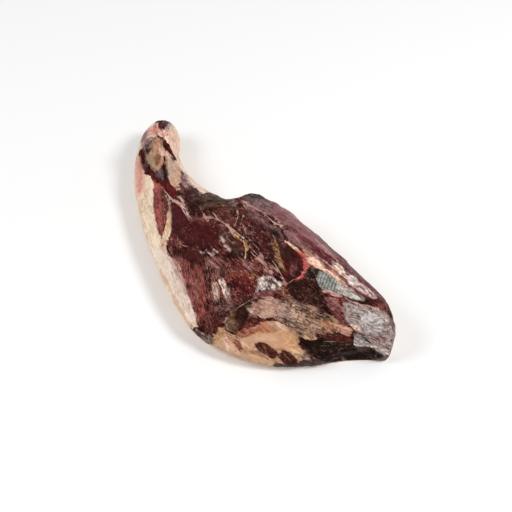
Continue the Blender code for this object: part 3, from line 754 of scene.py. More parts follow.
# washes of colour laid over the finishes, in pixels of the picture
# name, colour, fade in pixels, strength, how broken up it is, points, and how wide where it is a line
washes = [
    ("right rim of the shank", (226, 194, 172), 2, 0.8, 0.2, [(168, 122), (174, 124), (178, 130),
     (179, 142), (181, 152), (187, 164), (193, 174), (186, 178), (181, 168), (177, 159), (172, 150),
     (169, 142), (167, 132)]),
    ("salmon of the rim", (220, 170, 152), 2, 0.6, 0.2, [(169, 134), (175, 134), (178, 146), (177, 152),
     (171, 144)]),
    ("mottled top", (176, 122, 112), 1.5, 0.6, 1, [(152, 126), (158, 124), (163, 130), (169, 129),
     (170, 137), (165, 138), (158, 134), (152, 134)]),
    ("left of the top", (188, 126, 120), 1.5, 0.7, 0.6, [(144, 132), (150, 126), (156, 128), (154, 136),
     (148, 142), (141, 148), (139, 146)]),
    ("maroon edge of the top", (98, 60, 68), 1.5, 0.85, 0.5, [(140, 142), (144, 131), (147, 129),
     (146, 136), (143, 143)]),
    ("cream by the split", (218, 192, 168), 1, 0.7, 0.4, [(149, 133), (156, 131), (157, 135), (151, 139),
     (147, 141)]),
    ("rose by the split", (198, 118, 108), 1.2, 0.75, 0.5, [(151, 126), (156, 123), (158, 128),
     (157, 134), (152, 136)]),
    ("red of the top", (88, 30, 42), 1, 0.85, 0.4, [(157, 121), (163, 121), (163, 130), (159, 129)]),
    ("grey green of the top", (122, 106, 98), 1, 0.8, 1, [(165, 122), (171, 123.5), (172, 128),
     (168, 131), (164, 128)]),
    ("grey above the tendon", (122, 92, 88), 2, 0.85, 0.7, [(143, 142), (150, 138), (157, 139),
     (155, 146), (148, 148), (142, 149)]),
    ("peach of the tendon", (178, 140, 114), 1.5, 0.75, 0.3, [(151, 142), (158, 137), (163, 142),
     (165, 151), (164, 160), (161, 169), (155, 171), (150, 163), (148, 153)]),
    ("pale of the tendon", (224, 176, 156), 1, 0.85, 0.3, [(158, 144), (163, 146), (166, 152), (164, 160),
     (161, 157), (158, 150)]),
    ("beige of the tendon", (172, 142, 118), 1.5, 0.8, 0.25, [(145, 155), (150, 153), (155, 156),
     (156, 166), (152, 168), (147, 162)]),
    ("orange of the tendon", (190, 134, 106), 1.5, 0.6, 0.5, [(155, 141), (161, 141), (162, 148),
     (158, 151), (154, 147)]),
    ("wine of the pocket", (76, 20, 22), 1, 0.95, 0.25, [(139.5, 150), (143, 148.5), (145, 151),
     (144.5, 158), (146, 164), (147.5, 170), (146, 174), (142.5, 168), (140, 160)]),
    ("stain of the tendon", (140, 88, 56), 1, 0.8, 0.5, [(156, 155), (160, 154), (161, 162), (158, 168),
     (155, 165)]),
    ("dark smudge", (52, 32, 30), 1.5, 0.92, 0.5, [(145, 149), (150, 146), (153, 149), (149, 152),
     (145, 153)]),
    ("pink of the sheath", (216, 176, 156), 1, 0.75, 0.3, [(165, 150), (170, 152), (173, 158), (168, 160),
     (165, 159)]),
    ("grey of the sheath", (194, 168, 152), 2.5, 0.8, 0.12, [(166, 161), (171, 158), (174, 166),
     (175, 175), (172, 179), (168, 173)]),
    ("tan of the sheath", (216, 174, 148), 1.5, 0.85, 0.12, [(173, 158), (178, 162), (181, 170),
     (182, 180), (178, 185), (175, 176)]),
    ("peach beside the sheath", (234, 204, 184), 1.5, 0.8, 0.2, [(178, 160), (184, 164), (191, 173),
     (186, 176), (181, 170)]),
    ("foot of the sheath", (218, 176, 152), 1.5, 0.85, 0.15, [(167, 174), (174, 172), (178, 178),
     (180, 186), (175, 188), (170, 182)]),
    ("slate patch", (104, 84, 88), 1, 0.85, 0.6, [(155, 171), (162, 168.5), (164, 173), (162, 181),
     (158, 179)]),
    # painted shade beside the raised slate patch
    ("dark beside the slate patch", (40, 24, 26), 1, 0.8, 0.4, [(163, 168), (166.5, 169), (168, 176),
     (164, 180)]),
    ("red below the tendon", (84, 16, 16), 1.5, 0.8, 0.6, [(151, 171), (157, 178), (163, 182), (171, 184),
     (176, 192), (176, 199), (170, 197), (163, 191), (155, 181)]),
    ("step fringe", (150, 116, 114), 1.5, 0.6, 1, [(180, 175), (185, 172), (189, 178), (190, 186),
     (184, 188), (181, 182)]),
    ("rosy band", (218, 164, 148), 4, 0.7, 0.08, [(134, 155), (138, 152), (142, 168), (144, 190),
     (138, 196), (134, 180)]),
    ("rosy stripe", (214, 144, 130), 2, 0.6, 0.1, [(138.5, 164), (140.5, 176), (139.5, 190)], 4),
    ("cream band", (228, 206, 178), 4, 0.6, 0.04, [(137, 196), (150, 188), (154, 216), (160, 238),
     (158, 256), (146, 240)]),
    ("bright band", (240, 216, 190), 3, 0.6, 0.03, [(142, 212), (152, 208), (158, 232), (164, 258),
     (160, 262), (150, 240)]),
    ("pink low band", (218, 192, 178), 3, 0.7, 0.15, [(162, 246), (170, 254), (180, 274), (188, 298),
     (192, 316), (184, 312), (172, 290), (162, 266)]),
    ("white streaks of the low band", (206, 178, 168), 1.5, 0.7, 0.3, [(168, 256), (176, 262), (185, 284),
     (192, 306), (195, 320), (187, 314), (180, 294), (172, 272)]),
    ("grey streak of the band", (176, 152, 144), 1, 0.5, 0.6, [(172, 258), (177, 263), (184, 280),
     (187, 292), (182, 286), (175, 272)]),
    ("edge of the low band", (236, 216, 200), 2, 0.9, 0.05, [(150, 248), (158, 263), (166, 278),
     (174, 294), (182, 309), (191, 323), (198, 320), (190, 304), (182, 288), (174, 272), (166, 256),
     (158, 244)]),
    ("pink muscle", (144, 70, 66), 1.5, 0.7, 0.9, [(153, 182), (158, 184), (164, 196), (166, 212),
     (162, 232), (158, 234), (154, 214), (153, 196)]),
    ("brown of the pink muscle", (104, 58, 48), 2, 0.8, 1, [(160, 186), (166, 194), (169, 204),
     (168, 214), (164, 222), (161, 206)]),
    ("wedge of fat", (224, 186, 152), 1.5, 0.92, 0.25, [(168.5, 209), (171.5, 214), (171.8, 225),
     (169, 235), (166, 239), (164.5, 232), (166, 220)]),
    ("smooth muscle", (66, 17, 18), 7, 0.92, 0.4, [(170, 200), (181, 208), (188, 215), (193, 222),
     (204, 221), (216, 223), (221, 233), (215, 246), (202, 249), (186, 246), (177, 238), (171, 220)]),
    ("purple of the smooth muscle", (80, 28, 32), 2.5, 0.6, 0.2, [(172, 205), (180, 208), (184, 220),
     (178, 226), (173, 216)]),
    ("dark neck", (48, 16, 14), 3, 0.7, 0.6, [(182, 190), (190, 188), (200, 192), (202, 206), (206, 218),
     (196, 218), (188, 208)]),
    ("brown back", (74, 44, 28), 3, 0.75, 1, [(201, 193), (214, 192), (230, 199), (236, 206), (226, 210),
     (210, 209), (202, 204)]),
    ("olive of the brown back", (70, 50, 36), 2, 0.6, 1, [(204, 195), (214, 195), (224, 201), (214, 206),
     (206, 203)]),
    ("mauve edge of the back", (126, 100, 96), 1.5, 0.7, 0.8, [(216, 194), (228, 197), (240, 202),
     (238, 206), (226, 201)]),
    ("middle of the plateau", (84, 38, 32), 4, 0.6, 0.8, [(206, 210), (224, 208), (240, 212), (252, 230),
     (244, 234), (228, 224), (212, 222)]),
    ("olive brown hollow", (60, 34, 28), 3, 0.75, 0.7, [(217, 226), (226, 230), (238, 240), (243, 252),
     (238, 260), (228, 250), (218, 240)]),
    ("dark right plateau", (62, 22, 22), 4, 0.7, 0.7, [(248, 216), (258, 224), (268, 236), (276, 252),
     (280, 272), (270, 266), (258, 250), (248, 236)]),
    ("mauve of the plateau", (122, 84, 82), 3, 0.5, 0.9, [(238, 256), (252, 260), (262, 270), (256, 274),
     (244, 268)]),
    ("mauve streaks", (112, 70, 66), 3, 0.6, 1, [(202, 257), (218, 254), (228, 262), (226, 276),
     (212, 276), (203, 268)]),
    ("crumbs", (166, 134, 124), 1, 0.7, 1, [(199, 250), (210, 249), (219, 251), (218, 254), (208, 255),
     (200, 254)]),
    ("dark below the smooth muscle", (68, 20, 16), 3, 0.7, 0.4, [(180, 246), (198, 248), (202, 262),
     (192, 266), (182, 258)]),
    ("striated muscle", (128, 62, 56), 3, 0.6, 0.9, [(184, 264), (196, 264), (206, 276), (208, 300),
     (206, 324), (198, 316), (190, 290)]),
    ("fringe of the band", (140, 78, 76), 1.5, 0.7, 0.8, [(167, 242), (174, 258), (182, 276), (190, 296),
     (198, 318)], 3),
    ("dark foot", (72, 28, 28), 2, 0.8, 0.7, [(202, 318), (214, 304), (226, 310), (224, 326), (214, 337),
     (206, 333)]),
    ("pale patch", (172, 144, 130), 3, 0.8, 0.9, [(211.5, 284), (215, 281), (218.5, 286), (219, 292),
     (217, 301), (214, 298), (212, 291)]),
    ("white pink patch", (208, 180, 168), 2.5, 0.85, 0.9, [(218.5, 278), (222, 279), (226, 284),
     (229, 291), (231, 301), (226, 298), (222, 290), (219, 284)]),
    ("white tag", (196, 168, 158), 0.8, 0.85, 0.3, [(220, 237), (223, 237), (225.5, 241), (224, 243),
     (221, 241)]),
    ("second white tag", (196, 168, 158), 0.8, 0.85, 0.3, [(222.5, 245), (227, 245), (231, 249),
     (230, 251), (226, 248.5)]),
    ("maroon lobe", (86, 24, 24), 2.5, 0.8, 0.5, [(234, 277), (246, 275), (257, 281), (255, 290),
     (244, 294), (234, 288)]),
    ("scaly patch", (110, 76, 70), 2.5, 0.5, 1, [(214, 294), (230, 293), (238, 298), (230, 310),
     (217, 316), (212, 304)]),
    ("dark edge above the fold", (54, 18, 16), 2, 0.8, 0.6, [(224, 312), (234, 303), (250, 296),
     (262, 291), (256, 300), (242, 306), (232, 314), (226, 320)]),
    ("ochre spot", (146, 92, 58), 1.2, 0.9, 0.9, [(246, 273), (253, 273), (260, 276), (257, 279),
     (249, 278)]),
    ("scab", (186, 168, 160), 2.5, 0.8, 1, [(258, 277), (266, 275), (276, 279), (283, 284), (281, 289),
     (270, 290), (260, 291), (257, 285)]),
    ("dark of the scab", (66, 54, 48), 1.5, 0.7, 1, [(263, 276), (268, 275), (271, 281), (265, 284)]),
    ("band above the fold", (134, 80, 78), 1.5, 0.75, 0.6, [(250, 297), (260, 291), (272, 289),
     (282, 289), (280, 293), (266, 295), (256, 300)]),
    ("crest", (134, 88, 92), 4, 0.75, 0.35, [(246, 200), (262, 197), (280, 205), (302, 222), (322, 240),
     (344, 260), (338, 262), (318, 248), (300, 234), (284, 222), (264, 212), (252, 206)]),
    ("grey of the crest", (112, 92, 92), 3, 0.7, 0.7, [(244, 200), (256, 196), (268, 202), (276, 210),
     (266, 212), (254, 207)]),
    ("rosy crest", (158, 108, 110), 3, 0.6, 0.3, [(276, 202), (290, 210), (306, 224), (322, 240),
     (312, 238), (296, 224), (282, 212)]),
    ("black of the crest", (62, 56, 54), 1.5, 0.8, 0.8, [(246, 196), (252, 192), (260, 194), (264, 199),
     (254, 199)]),
    ("pale edge of the crest", (206, 176, 172), 1, 0.6, 0.6, [(274, 199), (284, 204), (296, 213),
     (306, 222), (304, 224), (292, 214), (280, 206)]),
    ("lower face", (122, 84, 84), 3, 0.6, 0.5, [(242, 202), (254, 209), (268, 219), (280, 229),
     (278, 232), (264, 224), (250, 217)]),
    ("side face", (128, 86, 88), 3, 0.7, 0.4, [(282, 229), (296, 233), (310, 244), (322, 254), (316, 256),
     (300, 248), (288, 240)]),
    ("red stripe", (92, 30, 38), 1.5, 0.85, 0.5, [(296, 235), (304, 236), (314, 243), (324, 251),
     (333, 260), (334, 266), (324, 260), (313, 251), (303, 243)]),
    ("pink stripe", (196, 146, 144), 1, 0.6, 0.7, [(316, 238), (324, 245), (332, 253), (340, 261),
     (338, 262), (329, 254), (320, 246)]),
    ("dark above the hollow", (50, 33, 25), 2.5, 0.85, 0.5, [(266, 226), (274, 228), (281, 235),
     (284, 243), (276, 242), (270, 236)]),
    ("wine of the hollow", (52, 16, 14), 2, 0.9, 0.4, [(284, 248), (292, 250), (299, 258), (300, 268),
     (296, 278), (289, 280), (285, 270), (283, 258)]),
    ("olive of the round muscle", (50, 26, 18), 2.5, 0.8, 0.4, [(281, 245), (288, 246), (292, 254),
     (287, 262), (282, 258)]),
    ("sheen of the round muscle", (112, 62, 64), 1.2, 0.7, 0.8, [(291, 262), (295, 262), (296, 269),
     (293, 276), (289.5, 275), (290, 268)]),
    ("salmon rim", (192, 98, 92), 1.2, 0.85, 0.3, [(298, 250), (303, 252), (308, 258), (309, 266),
     (306, 272), (301, 278), (299, 281), (297, 280), (302, 272), (304, 264), (302, 257)]),
    ("cream of the upper rim", (214, 172, 146), 1, 0.85, 0.3, [(284, 241), (289, 243), (296, 248),
     (300, 252), (296, 251), (289, 246)]),
    ("tan fat of the hollow", (128, 96, 68), 1.5, 0.92, 0.9, [(273, 243), (277, 243), (280, 252),
     (281, 262), (284, 272), (280, 270), (276, 260), (274, 252)]),
    ("beige strip", (224, 180, 160), 1.5, 0.9, 0.5, [(305, 256), (310, 255), (317, 259), (324, 266),
     (334, 274), (346, 283), (356, 291), (352, 291), (340, 283), (328, 275), (316, 267), (308, 263)]),
    ("pink above the strip", (170, 122, 118), 1.2, 0.75, 0.7, [(311, 253), (319, 259), (328, 264),
     (336, 269)], 2.8),
    ("white blob", (210, 180, 166), 2.5, 0.85, 0.7, [(332, 261), (337, 262), (342, 268), (347, 275),
     (345, 279), (338, 274), (332, 269)]),
    ("red spot", (196, 84, 76), 0.8, 0.9, 0.3, [(332.5, 270), (337, 270.5), (337, 273), (333, 272.5)]),
    ("pale streaks", (208, 180, 178), 2, 0.9, 0.7, [(342, 272), (351, 276), (360, 283), (370, 291),
     (379, 300), (370, 298), (358, 291), (346, 282)]),
    ("white grey patch", (216, 198, 194), 2, 0.95, 0.5, [(348, 275), (355, 276), (360, 283), (356, 287),
     (350, 281)]),
    ("outer maroon", (104, 58, 62), 2, 0.75, 0.6, [(334, 254), (344, 260), (356, 270), (368, 284),
     (378, 298), (370, 290), (358, 279), (346, 270), (338, 263)]),
    ("maroon below the pale streaks", (84, 38, 40), 1.2, 0.8, 0.6, [(346, 282), (356, 289), (368, 296),
     (378, 301), (368, 299), (356, 293), (347, 286)]),
    ("plate", (122, 124, 120), 1.5, 0.75, 0.7, [(317, 274), (322, 271), (332, 276), (338, 282),
     (338, 292), (328, 290), (319, 287)]),
    ("white end of the plate", (192, 184, 176), 1.5, 0.85, 0.5, [(336, 281), (346, 287), (358, 295),
     (365, 301), (356, 299), (344, 296), (336, 291)]),
    ("black end", (34, 26, 22), 1.2, 0.9, 0.5, [(305, 271), (309, 267), (315, 268), (317, 273),
     (314, 280), (308, 279)]),
    ("brown hollow", (44, 18, 13), 3, 0.9, 0.5, [(288, 284), (298, 281), (308, 280), (318, 286),
     (325, 296), (324, 306), (312, 306), (300, 302), (290, 296)]),
    ("pink lip", (178, 128, 126), 1, 0.8, 0.5, [(320, 290), (327, 289.5), (335, 292), (343, 296),
     (340, 298), (330, 294), (321, 292.5)]),
    ("pink line over the dry end", (186, 138, 136), 1, 0.7, 0.7, [(343, 297), (354, 301), (366, 305),
     (380, 308), (380, 311), (366, 308), (352, 304)]),
    ("ochre fibres", (120, 78, 58), 1.5, 0.9, 0.9, [(279, 284), (284, 284), (289, 294), (289, 303),
     (284, 300)]),
    ("mauve of the lower muscle", (126, 82, 80), 2, 0.7, 1, [(322, 297), (332, 295), (340, 300),
     (344, 312), (342, 320), (334, 314), (326, 305)]),
    ("dark of the lower muscle", (80, 34, 36), 2, 0.7, 1, [(332, 308), (340, 308), (345, 318), (340, 322),
     (334, 316)]),
    ("ground of the apron", (140, 108, 92), 4, 0.8, 1, [(262, 300), (284, 298), (304, 306), (322, 318),
     (340, 324), (352, 333), (334, 333), (318, 334), (300, 339), (290, 329), (272, 319)]),
    ("grey apron", (136, 118, 110), 2.5, 0.75, 0.9, [(272, 305), (284, 304), (296, 312), (302, 322),
     (296, 328), (284, 320), (274, 313)]),
    ("beige apron", (170, 138, 114), 2.5, 0.8, 0.9, [(290, 304), (302, 312), (314, 320), (320, 328),
     (314, 338), (302, 334), (292, 326), (288, 314)]),
    ("pale flecks of the apron", (214, 176, 156), 1, 0.8, 0.8, [(291, 299), (295, 300), (300, 306),
     (302, 313), (297, 311), (293, 305)]),
    ("dark of the apron", (84, 54, 44), 1.5, 0.7, 0.7, [(282, 297), (292, 298), (304, 304), (306, 310),
     (296, 305), (286, 302)]),
    ("straw of the apron", (140, 108, 90), 3, 0.6, 1, [(296, 303), (306, 304), (320, 309), (334, 317),
     (343, 325), (330, 326), (312, 318), (298, 311)]),
    ("ground of the fold", (196, 152, 120), 2, 0.9, 0.15, [(211, 346), (217, 328), (226, 330), (236, 337),
     (252, 327), (268, 320), (290, 326), (300, 336), (299, 348), (311, 357), (300, 360), (290, 365),
     (277, 367), (250, 372), (226, 362)]),
    ("shadow under the flap", (42, 24, 18), 1.2, 0.85, 0.4, [(227, 323), (232, 315), (240, 308.5),
     (250, 303), (262, 299)], 2.4),
    ("smooth upper pad", (192, 152, 132), 4, 0.9, 0.3, [(253, 306), (260, 300), (270, 298), (277, 302),
     (276, 312), (270, 318), (260, 317), (254, 312)]),
    ("fold of the upper pad", (150, 104, 92), 1.2, 0.6, 0.4, [(262, 300), (270, 300.5), (278, 304),
     (284, 310)], 1.6),
    ("mauve of the upper pad", (176, 136, 122), 2, 0.8, 0.4, [(266, 298), (277, 298), (284, 305),
     (284, 312), (276, 314), (272, 304)]),
    ("shade beside the upper pad", (148, 108, 94), 2.5, 0.85, 0.7, [(245, 313), (253, 303), (262, 299),
     (262, 308), (258, 317), (250, 319)]),
    ("dark fibres under the upper pad", (88, 38, 32), 1.5, 0.85, 0.6, [(235, 322), (246, 317), (258, 318),
     (266, 320), (258, 324), (246, 327), (236, 330)]),
    ("wall of the cavity", (118, 88, 62), 3, 0.95, 0.4, [(228, 317), (233, 313), (236, 318), (235, 328),
     (231, 332), (227, 328)]),
    # painted shade deep in the cavity
    ("depth of the cavity", (72, 36, 28), 3, 0.95, 0.5, [(235, 315), (242, 309), (248, 310), (247, 319),
     (241, 327), (236, 328)]),
    ("white lump", (196, 166, 156), 1, 0.9, 0.5, [(246.5, 312), (249, 308.5), (253, 307), (255, 309),
     (251, 313)]),
    ("red brown of the fold", (150, 88, 72), 1.5, 0.8, 0.6, [(234, 333), (244, 328), (254, 327),
     (256, 333), (248, 338), (240, 337)]),
    ("orange fold", (186, 124, 94), 1.5, 0.9, 0.25, [(250, 331), (258, 324), (268, 321), (276, 325),
     (281, 331), (268, 333), (256, 334)]),
    ("red of the orange fold", (158, 84, 64), 1.5, 0.7, 0.5, [(246, 333), (254, 328), (262, 325),
     (258, 331), (250, 336)]),
    ("pale strip", (204, 170, 146), 3, 0.7, 0.3, [(266, 320.5), (276, 322), (286, 326), (290, 330),
     (280, 330), (272, 326)]),
    ("pad", (196, 150, 118), 3, 0.9, 0.06, [(246, 340), (256, 334), (270, 333), (284, 334), (288, 344),
     (294, 350), (284, 349), (272, 344), (258, 341), (250, 344)]),
    ("shade of the pad", (170, 118, 84), 2, 0.7, 0.2, [(246, 345), (252, 348), (262, 354), (272, 360),
     (264, 359), (252, 353), (244, 348)]),
    ("groove left of the pad", (128, 78, 54), 1.2, 0.75, 0.3, [(236, 337), (242, 342), (250, 347),
     (258, 352), (267, 359)], 1.6),
    ("light beside the groove", (224, 184, 158), 1.2, 0.7, 0.2, [(240, 341), (248, 346), (256, 350)],
     1.8),
    ("bright of the pad", (212, 172, 140), 4, 0.8, 0.05, [(252, 340), (260, 335), (274, 335), (280, 341),
     (268, 342)]),
    ("golden corner", (198, 150, 108), 1.5, 0.92, 0.3, [(278, 332), (286, 331), (297, 337), (296, 348),
     (304, 354), (298, 356), (288, 348), (284, 340)]),
    ("golden strip", (196, 158, 118), 1.5, 0.8, 0.4, [(292, 348), (300, 351), (309, 357), (310, 361),
     (300, 358), (293, 353)]),
    ("roll", (188, 152, 124), 3, 0.8, 0.08, [(214, 344), (222, 340), (230, 346), (242, 353), (256, 358),
     (270, 362), (272, 368), (250, 366), (228, 358)]),
    ("dark folds of the roll", (146, 98, 70), 1.2, 0.7, 0.3, [(226, 334), (228.5, 341), (231, 348),
     (236, 353)], 1.4),
    ("light ridge of the roll", (226, 188, 164), 1.2, 0.75, 0.2, [(223, 333), (225.5, 341), (228, 350)],
     2.2),
    ("pink ridge of the roll", (206, 142, 122), 1.2, 0.7, 0.3, [(229, 334), (234, 341), (240, 350)], 2),
    ("amber edge of the roll", (192, 144, 102), 1.5, 0.5, 0.5, [(248, 360), (258, 362), (268, 364),
     (274, 361)], 2.4),
    ("pink of the roll", (196, 150, 130), 1.5, 0.7, 0.5, [(224, 333), (229, 337), (232, 347), (244, 354),
     (240, 356), (230, 350), (225, 342)]),
    ("yellow hem", (198, 154, 108), 1.2, 0.92, 0.3, [(211, 346), (214, 338), (219, 327), (224, 326),
     (224, 334), (219, 342), (214, 347)]),
    ("small nugget", (116, 56, 46), 1.2, 0.85, 0.7, [(233.5, 341), (238, 340), (242.5, 345), (243, 351),
     (239, 351), (236, 346)]),
    ("edge of the nuggets", (198, 148, 114), 1.5, 0.8, 0.3, [(254, 343), (262, 341), (274, 345),
     (284, 349), (296, 354), (297, 364), (290, 367), (278, 361), (266, 358), (257, 350)]),
    ("first nugget", (64, 22, 15), 1, 1, 0.25, [(255, 347), (256, 343), (260, 342), (266, 344),
     (272, 347), (277, 351), (278, 357), (273, 359.5), (267, 357), (260, 353)]),
    ("second nugget", (60, 20, 14), 1, 1, 0.25, [(279, 351), (283, 350), (289, 352), (295, 355),
     (298, 360), (297, 365), (291, 366), (284, 364), (279, 359), (278, 355)]),
    ("lines of the nuggets", (150, 96, 62), 0.8, 0.6, 0.4, [(262, 344), (265, 349), (268, 355)], 0.9),
    ("more lines of the nuggets", (150, 96, 62), 0.8, 0.6, 0.4, [(283, 352), (286, 357), (292, 360)],
     0.9),
    # grey hem: painted shade on the underside along the near bottom edge
    ("grey hem", (64, 48, 46), 2, 0.95, 0.4, [(274, 361), (284, 365), (296, 364), (308, 358), (324, 361),
     (330, 366), (322, 376), (300, 382), (270, 378)]),
    ("grey lumps of the hem", (136, 116, 108), 1.2, 0.7, 0.8, [(298, 354), (304, 352), (311, 356),
     (312, 361), (304, 360)]),
    ("grey foot", (112, 90, 80), 2, 0.7, 0.8, [(194, 327), (204, 332), (214, 338), (214, 346),
     (202, 344)]),
    ("dry end", (160, 144, 140), 3, 0.8, 0.7, [(344, 303), (358, 304), (376, 308), (392, 318), (397, 334),
     (392, 352), (376, 342), (360, 332), (348, 322)]),
    ("round white lump", (200, 190, 186), 3, 0.8, 0.4, [(360, 318), (368, 313), (378, 315), (384, 323),
     (382, 332), (372, 335), (362, 329)]),
    ("cracks of the dry end", (118, 104, 100), 2, 0.5, 1, [(345, 305), (354, 306), (360, 314), (356, 324),
     (348, 318)]),
    ("dark edge of the dry end", (124, 94, 96), 1.5, 0.75, 0.8, [(388, 314), (396, 322), (398, 336),
     (394, 350), (391, 340), (391, 326)]),
    ("pink under the lump", (190, 152, 150), 1.5, 0.7, 0.8, [(364, 333), (376, 336), (386, 334),
     (390, 344), (384, 348), (372, 340)]),
    ("light grey corner", (196, 186, 180), 3, 0.85, 0.7, [(353, 336), (362, 337), (370, 343), (373, 348),
     (362, 347), (354, 346)]),
    ("ochre", (180, 128, 96), 2, 0.8, 0.6, [(317, 321), (328, 320), (340, 325), (350, 329), (350, 335),
     (338, 332), (324, 330)]),
    ("salmon of the ochre", (220, 164, 138), 1.5, 0.9, 0.7, [(333, 324), (342, 325), (351, 329),
     (351, 334), (341, 332), (334, 329)]),
    ("peach chips", (216, 182, 162), 1.5, 0.85, 0.8, [(351, 325), (356, 325), (362, 329), (361, 333),
     (354, 330)]),
    ("maroon over the pocket", (78, 34, 28), 1.2, 0.75, 0.4, [(319, 334), (330, 335.5), (344, 338),
     (353, 341), (340, 342.5), (324, 342)]),
    ("peach edge", (236, 176, 154), 1, 1, 0.25, [(338, 329), (348, 327), (353, 331), (349, 336),
     (340, 335)]),
    ("beige chips", (188, 150, 118), 1.5, 0.85, 0.6, [(301, 332), (308, 330), (316, 333), (317, 339),
     (308, 340), (302, 337)]),
    # painted shade in the pocket under the butt's lip, over its own olive and black tones
    ("olive of the pocket", (36, 26, 14), 2, 0.9, 0.6, [(300, 340), (314, 342), (330, 341), (350, 343),
     (354, 348), (340, 352), (322, 350), (308, 348)]),
    ("black of the pocket", (24, 8, 6), 2.5, 0.95, 0.3, [(306, 350), (322, 351), (342, 352), (354, 350),
     (378, 354), (384, 357), (366, 362), (344, 366), (326, 362), (312, 356)]),
    ("brown shell in the pocket", (86, 56, 40), 1.2, 0.6, 1, [(355, 352), (362, 348.5), (372, 350),
     (378, 354), (368, 356), (358, 357)]),
    ("black arc of the pocket", (24, 16, 14), 0.8, 0.95, 0.2, [(352, 349), (360, 347), (370, 348),
     (378, 353), (383, 357)], 1.4),
    # painted shade beneath the lower corner of the butt
    ("dark beneath the corner", (56, 36, 30), 1.5, 0.9, 0.4, [(372, 360), (384, 357), (392, 352),
     (396, 356), (390, 366), (370, 370)]),
]


# how the edges of the washes fray along the fibres
fringe = {
    "reach": 3.2,  # pixels
    "hair": ((16, 2.6, 4), 71),  # along, across and up in millimetres, seed
    "tuft": (6.0, 0.6, 72),  # millimetres, share of a hair, seed
    "least": 0.15,  # share of the reach where a wash isn't broken up
    "shank": (175, (0.3, 1.0)),  # place across the picture, way of the fibres there
    "crest": (275, (0.8, 0.62)),
}
washing = {
    "bare": 0.7,  # how broken up the skin is where no wash lies
    "away": -0.25,  # how far a face may turn from the picture
    "spread": 3,  # faces past its edge that a wash's colour goes
    "trace": 0.02,  # the cover there
}


def fibreWay(places):
    # which way the fibres run in the picture
    (shank, shankWay), (crest, crestWay) = fringe["shank"], fringe["crest"]
    share = np.clip((places[:, 0] - shank) / (crest - shank), 0, 1)[:, None]
    way = np.array(shankWay) * (1 - share) + np.array(crestWay) * share
    for outline, turnedWay, curling in turnedGrain["regions"].values():
        inside = edgeDistance(places, np.array(outline, float), True)[1]
        way = np.where(inside[:, None], np.array(turnedWay), way)
    return way / np.linalg.norm(way, axis=1)[:, None]


def spreadColour(colour, cover):
    # carries each wash past its own edge, so that the edge doesn't darken
    for turn in range(washing["spread"]):
        held = np.concatenate([colour * cover[:, None], cover[:, None]], axis=1)
        near = averaged(held, skinEdges, 1.0)
        empty = (cover < washing["trace"]) & (near[:, 3] > 0)
        colour[empty] = near[empty, :3] / near[empty, 3:]
        cover = np.where(empty, washing["trace"], cover)
    return colour


def washedSkin(points, places, facing):
    # the colour washed over each point, how strongly, and how broken up it is
    colour, cover = np.zeros((len(points), 3)), np.zeros(len(points))
    vary = np.full(len(points), washing["bare"])
    seen = easeBetween(washing["away"], 0.0, facing)
    (hair, hairSeed), (tuft, tuftShare, tuftSeed) = fringe["hair"], fringe["tuft"]
    hairs = unevenness(grain / hair, hairSeed) + tuftShare * unevenness(grain / tuft, tuftSeed)
    fringed = fibreWay(places) * (hairs * fringe["reach"])[:, None]
    for name, shade, fade, strength, broken, outline, *wide in washes:
        outline = rounded(outline, not wide)
        frayed = places + fringed * (fringe["least"] + broken)
        near = np.flatnonzero(nearOutline(frayed, outline, marking["margin"]) & (seen > 0))
        if len(near) == 0:
            continue
        gap, inside = edgeDistance(frayed[near], outline, not wide)
        inward = wide[0] / 2 - gap if wide else np.where(inside, gap, -gap)
        share = strength * easeBetween(-fade / 2, fade / 2, inward) * seen[near]
        under = cover[near]
        after = share + under * (1 - share)
        keep = (share / np.maximum(after, 1e-6))[:, None]
        colour[near] = colour[near] * (1 - keep) + np.array(tint(*shade)[:3]) * keep
        vary[near] = vary[near] * (1 - share) + broken * share
        cover[near] = after
    colour = spreadColour(colour, cover)
    return np.concatenate([colour, cover[:, None]], axis=1), vary


washed, washVary = washedSkin(skinPoints, skinPlaces, facing)
print("washes laid on:", len(washes))

# relief, in millimetres unless it says otherwise
relief = {
    # size in metres, rise, seed
    "lumps": ((0.030, 1.3, 3), (0.013, 0.75, 5), (0.006, 0.4, 7)),
    "fatCalm": 0.35,  # how much of the lumps the fat shows
    # along, across and up, depth, seed
    "creases": ((30, 6, 9, 0.9, 21), (16, 3.6, 6, 0.6, 22), (10, 10, 10, 0.5, 23)),
    "creaseCalm": 0.8,  # how much shallower they are on the fat
    "crags": 0.8,  # on the dry end and the apron
    "cragSize": (11, 4, 5),  # along, across and up
    "cragSeed": 31,
    "ribs": 0.9,  # of the plate
    "ribGap": 3.1,  # pixels
    "ribWay": (0.93, 0.36),  # in the picture
    "ribFade": (352, 336),  # places across the picture
    "bed": (0.0015, 0.006),  # metres up in which the relief sets in
}


def creased(size, seed):
    # flat between narrow creases, which run along the grain
    return np.minimum(np.abs(unevenness(grain / size, seed)) * 3, 1)


def reliefOf(points):
    # how far each point rises beside the marks
    rise = np.zeros(len(points))
    fat = np.maximum.reduce([fields[name] for name in ("cream", "blush", "peach", "butter")])
    onFat = np.maximum(easeBetween(-1, 1, fat), 0.7 * easeBetween(-1, 1, fields["sinew"]))
    calm = np.maximum(onFat, 0.7 * easeBetween(-1, 2, fields["wine"]))
    for size, height, seed in relief["lumps"]:
        rise += height * unevenness(points / size, seed) * (1 - onFat * (1 - relief["fatCalm"]))
    for along, across, up, depth, seed in relief["creases"]:
        rise += depth * (creased((along, across, up), seed) - 0.8) * (1 - calm * relief["creaseCalm"])
    dry = np.maximum(easeBetween(-1, 1, fields["ash"]), 0.6 * easeBetween(-1, 1, fields["film"]))
    rise += relief["crags"] * dry * (creased(relief["cragSize"], relief["cragSeed"]) - 0.6)
    plate = easeBetween(0, 1.5, fields["silver"]) * easeBetween(*relief["ribFade"], skinPlaces[:, 0])
    along = skinPlaces @ np.array(relief["ribWay"])
    rise += relief["ribs"] * plate * np.sin(2 * math.pi * along / relief["ribGap"])
    return rise


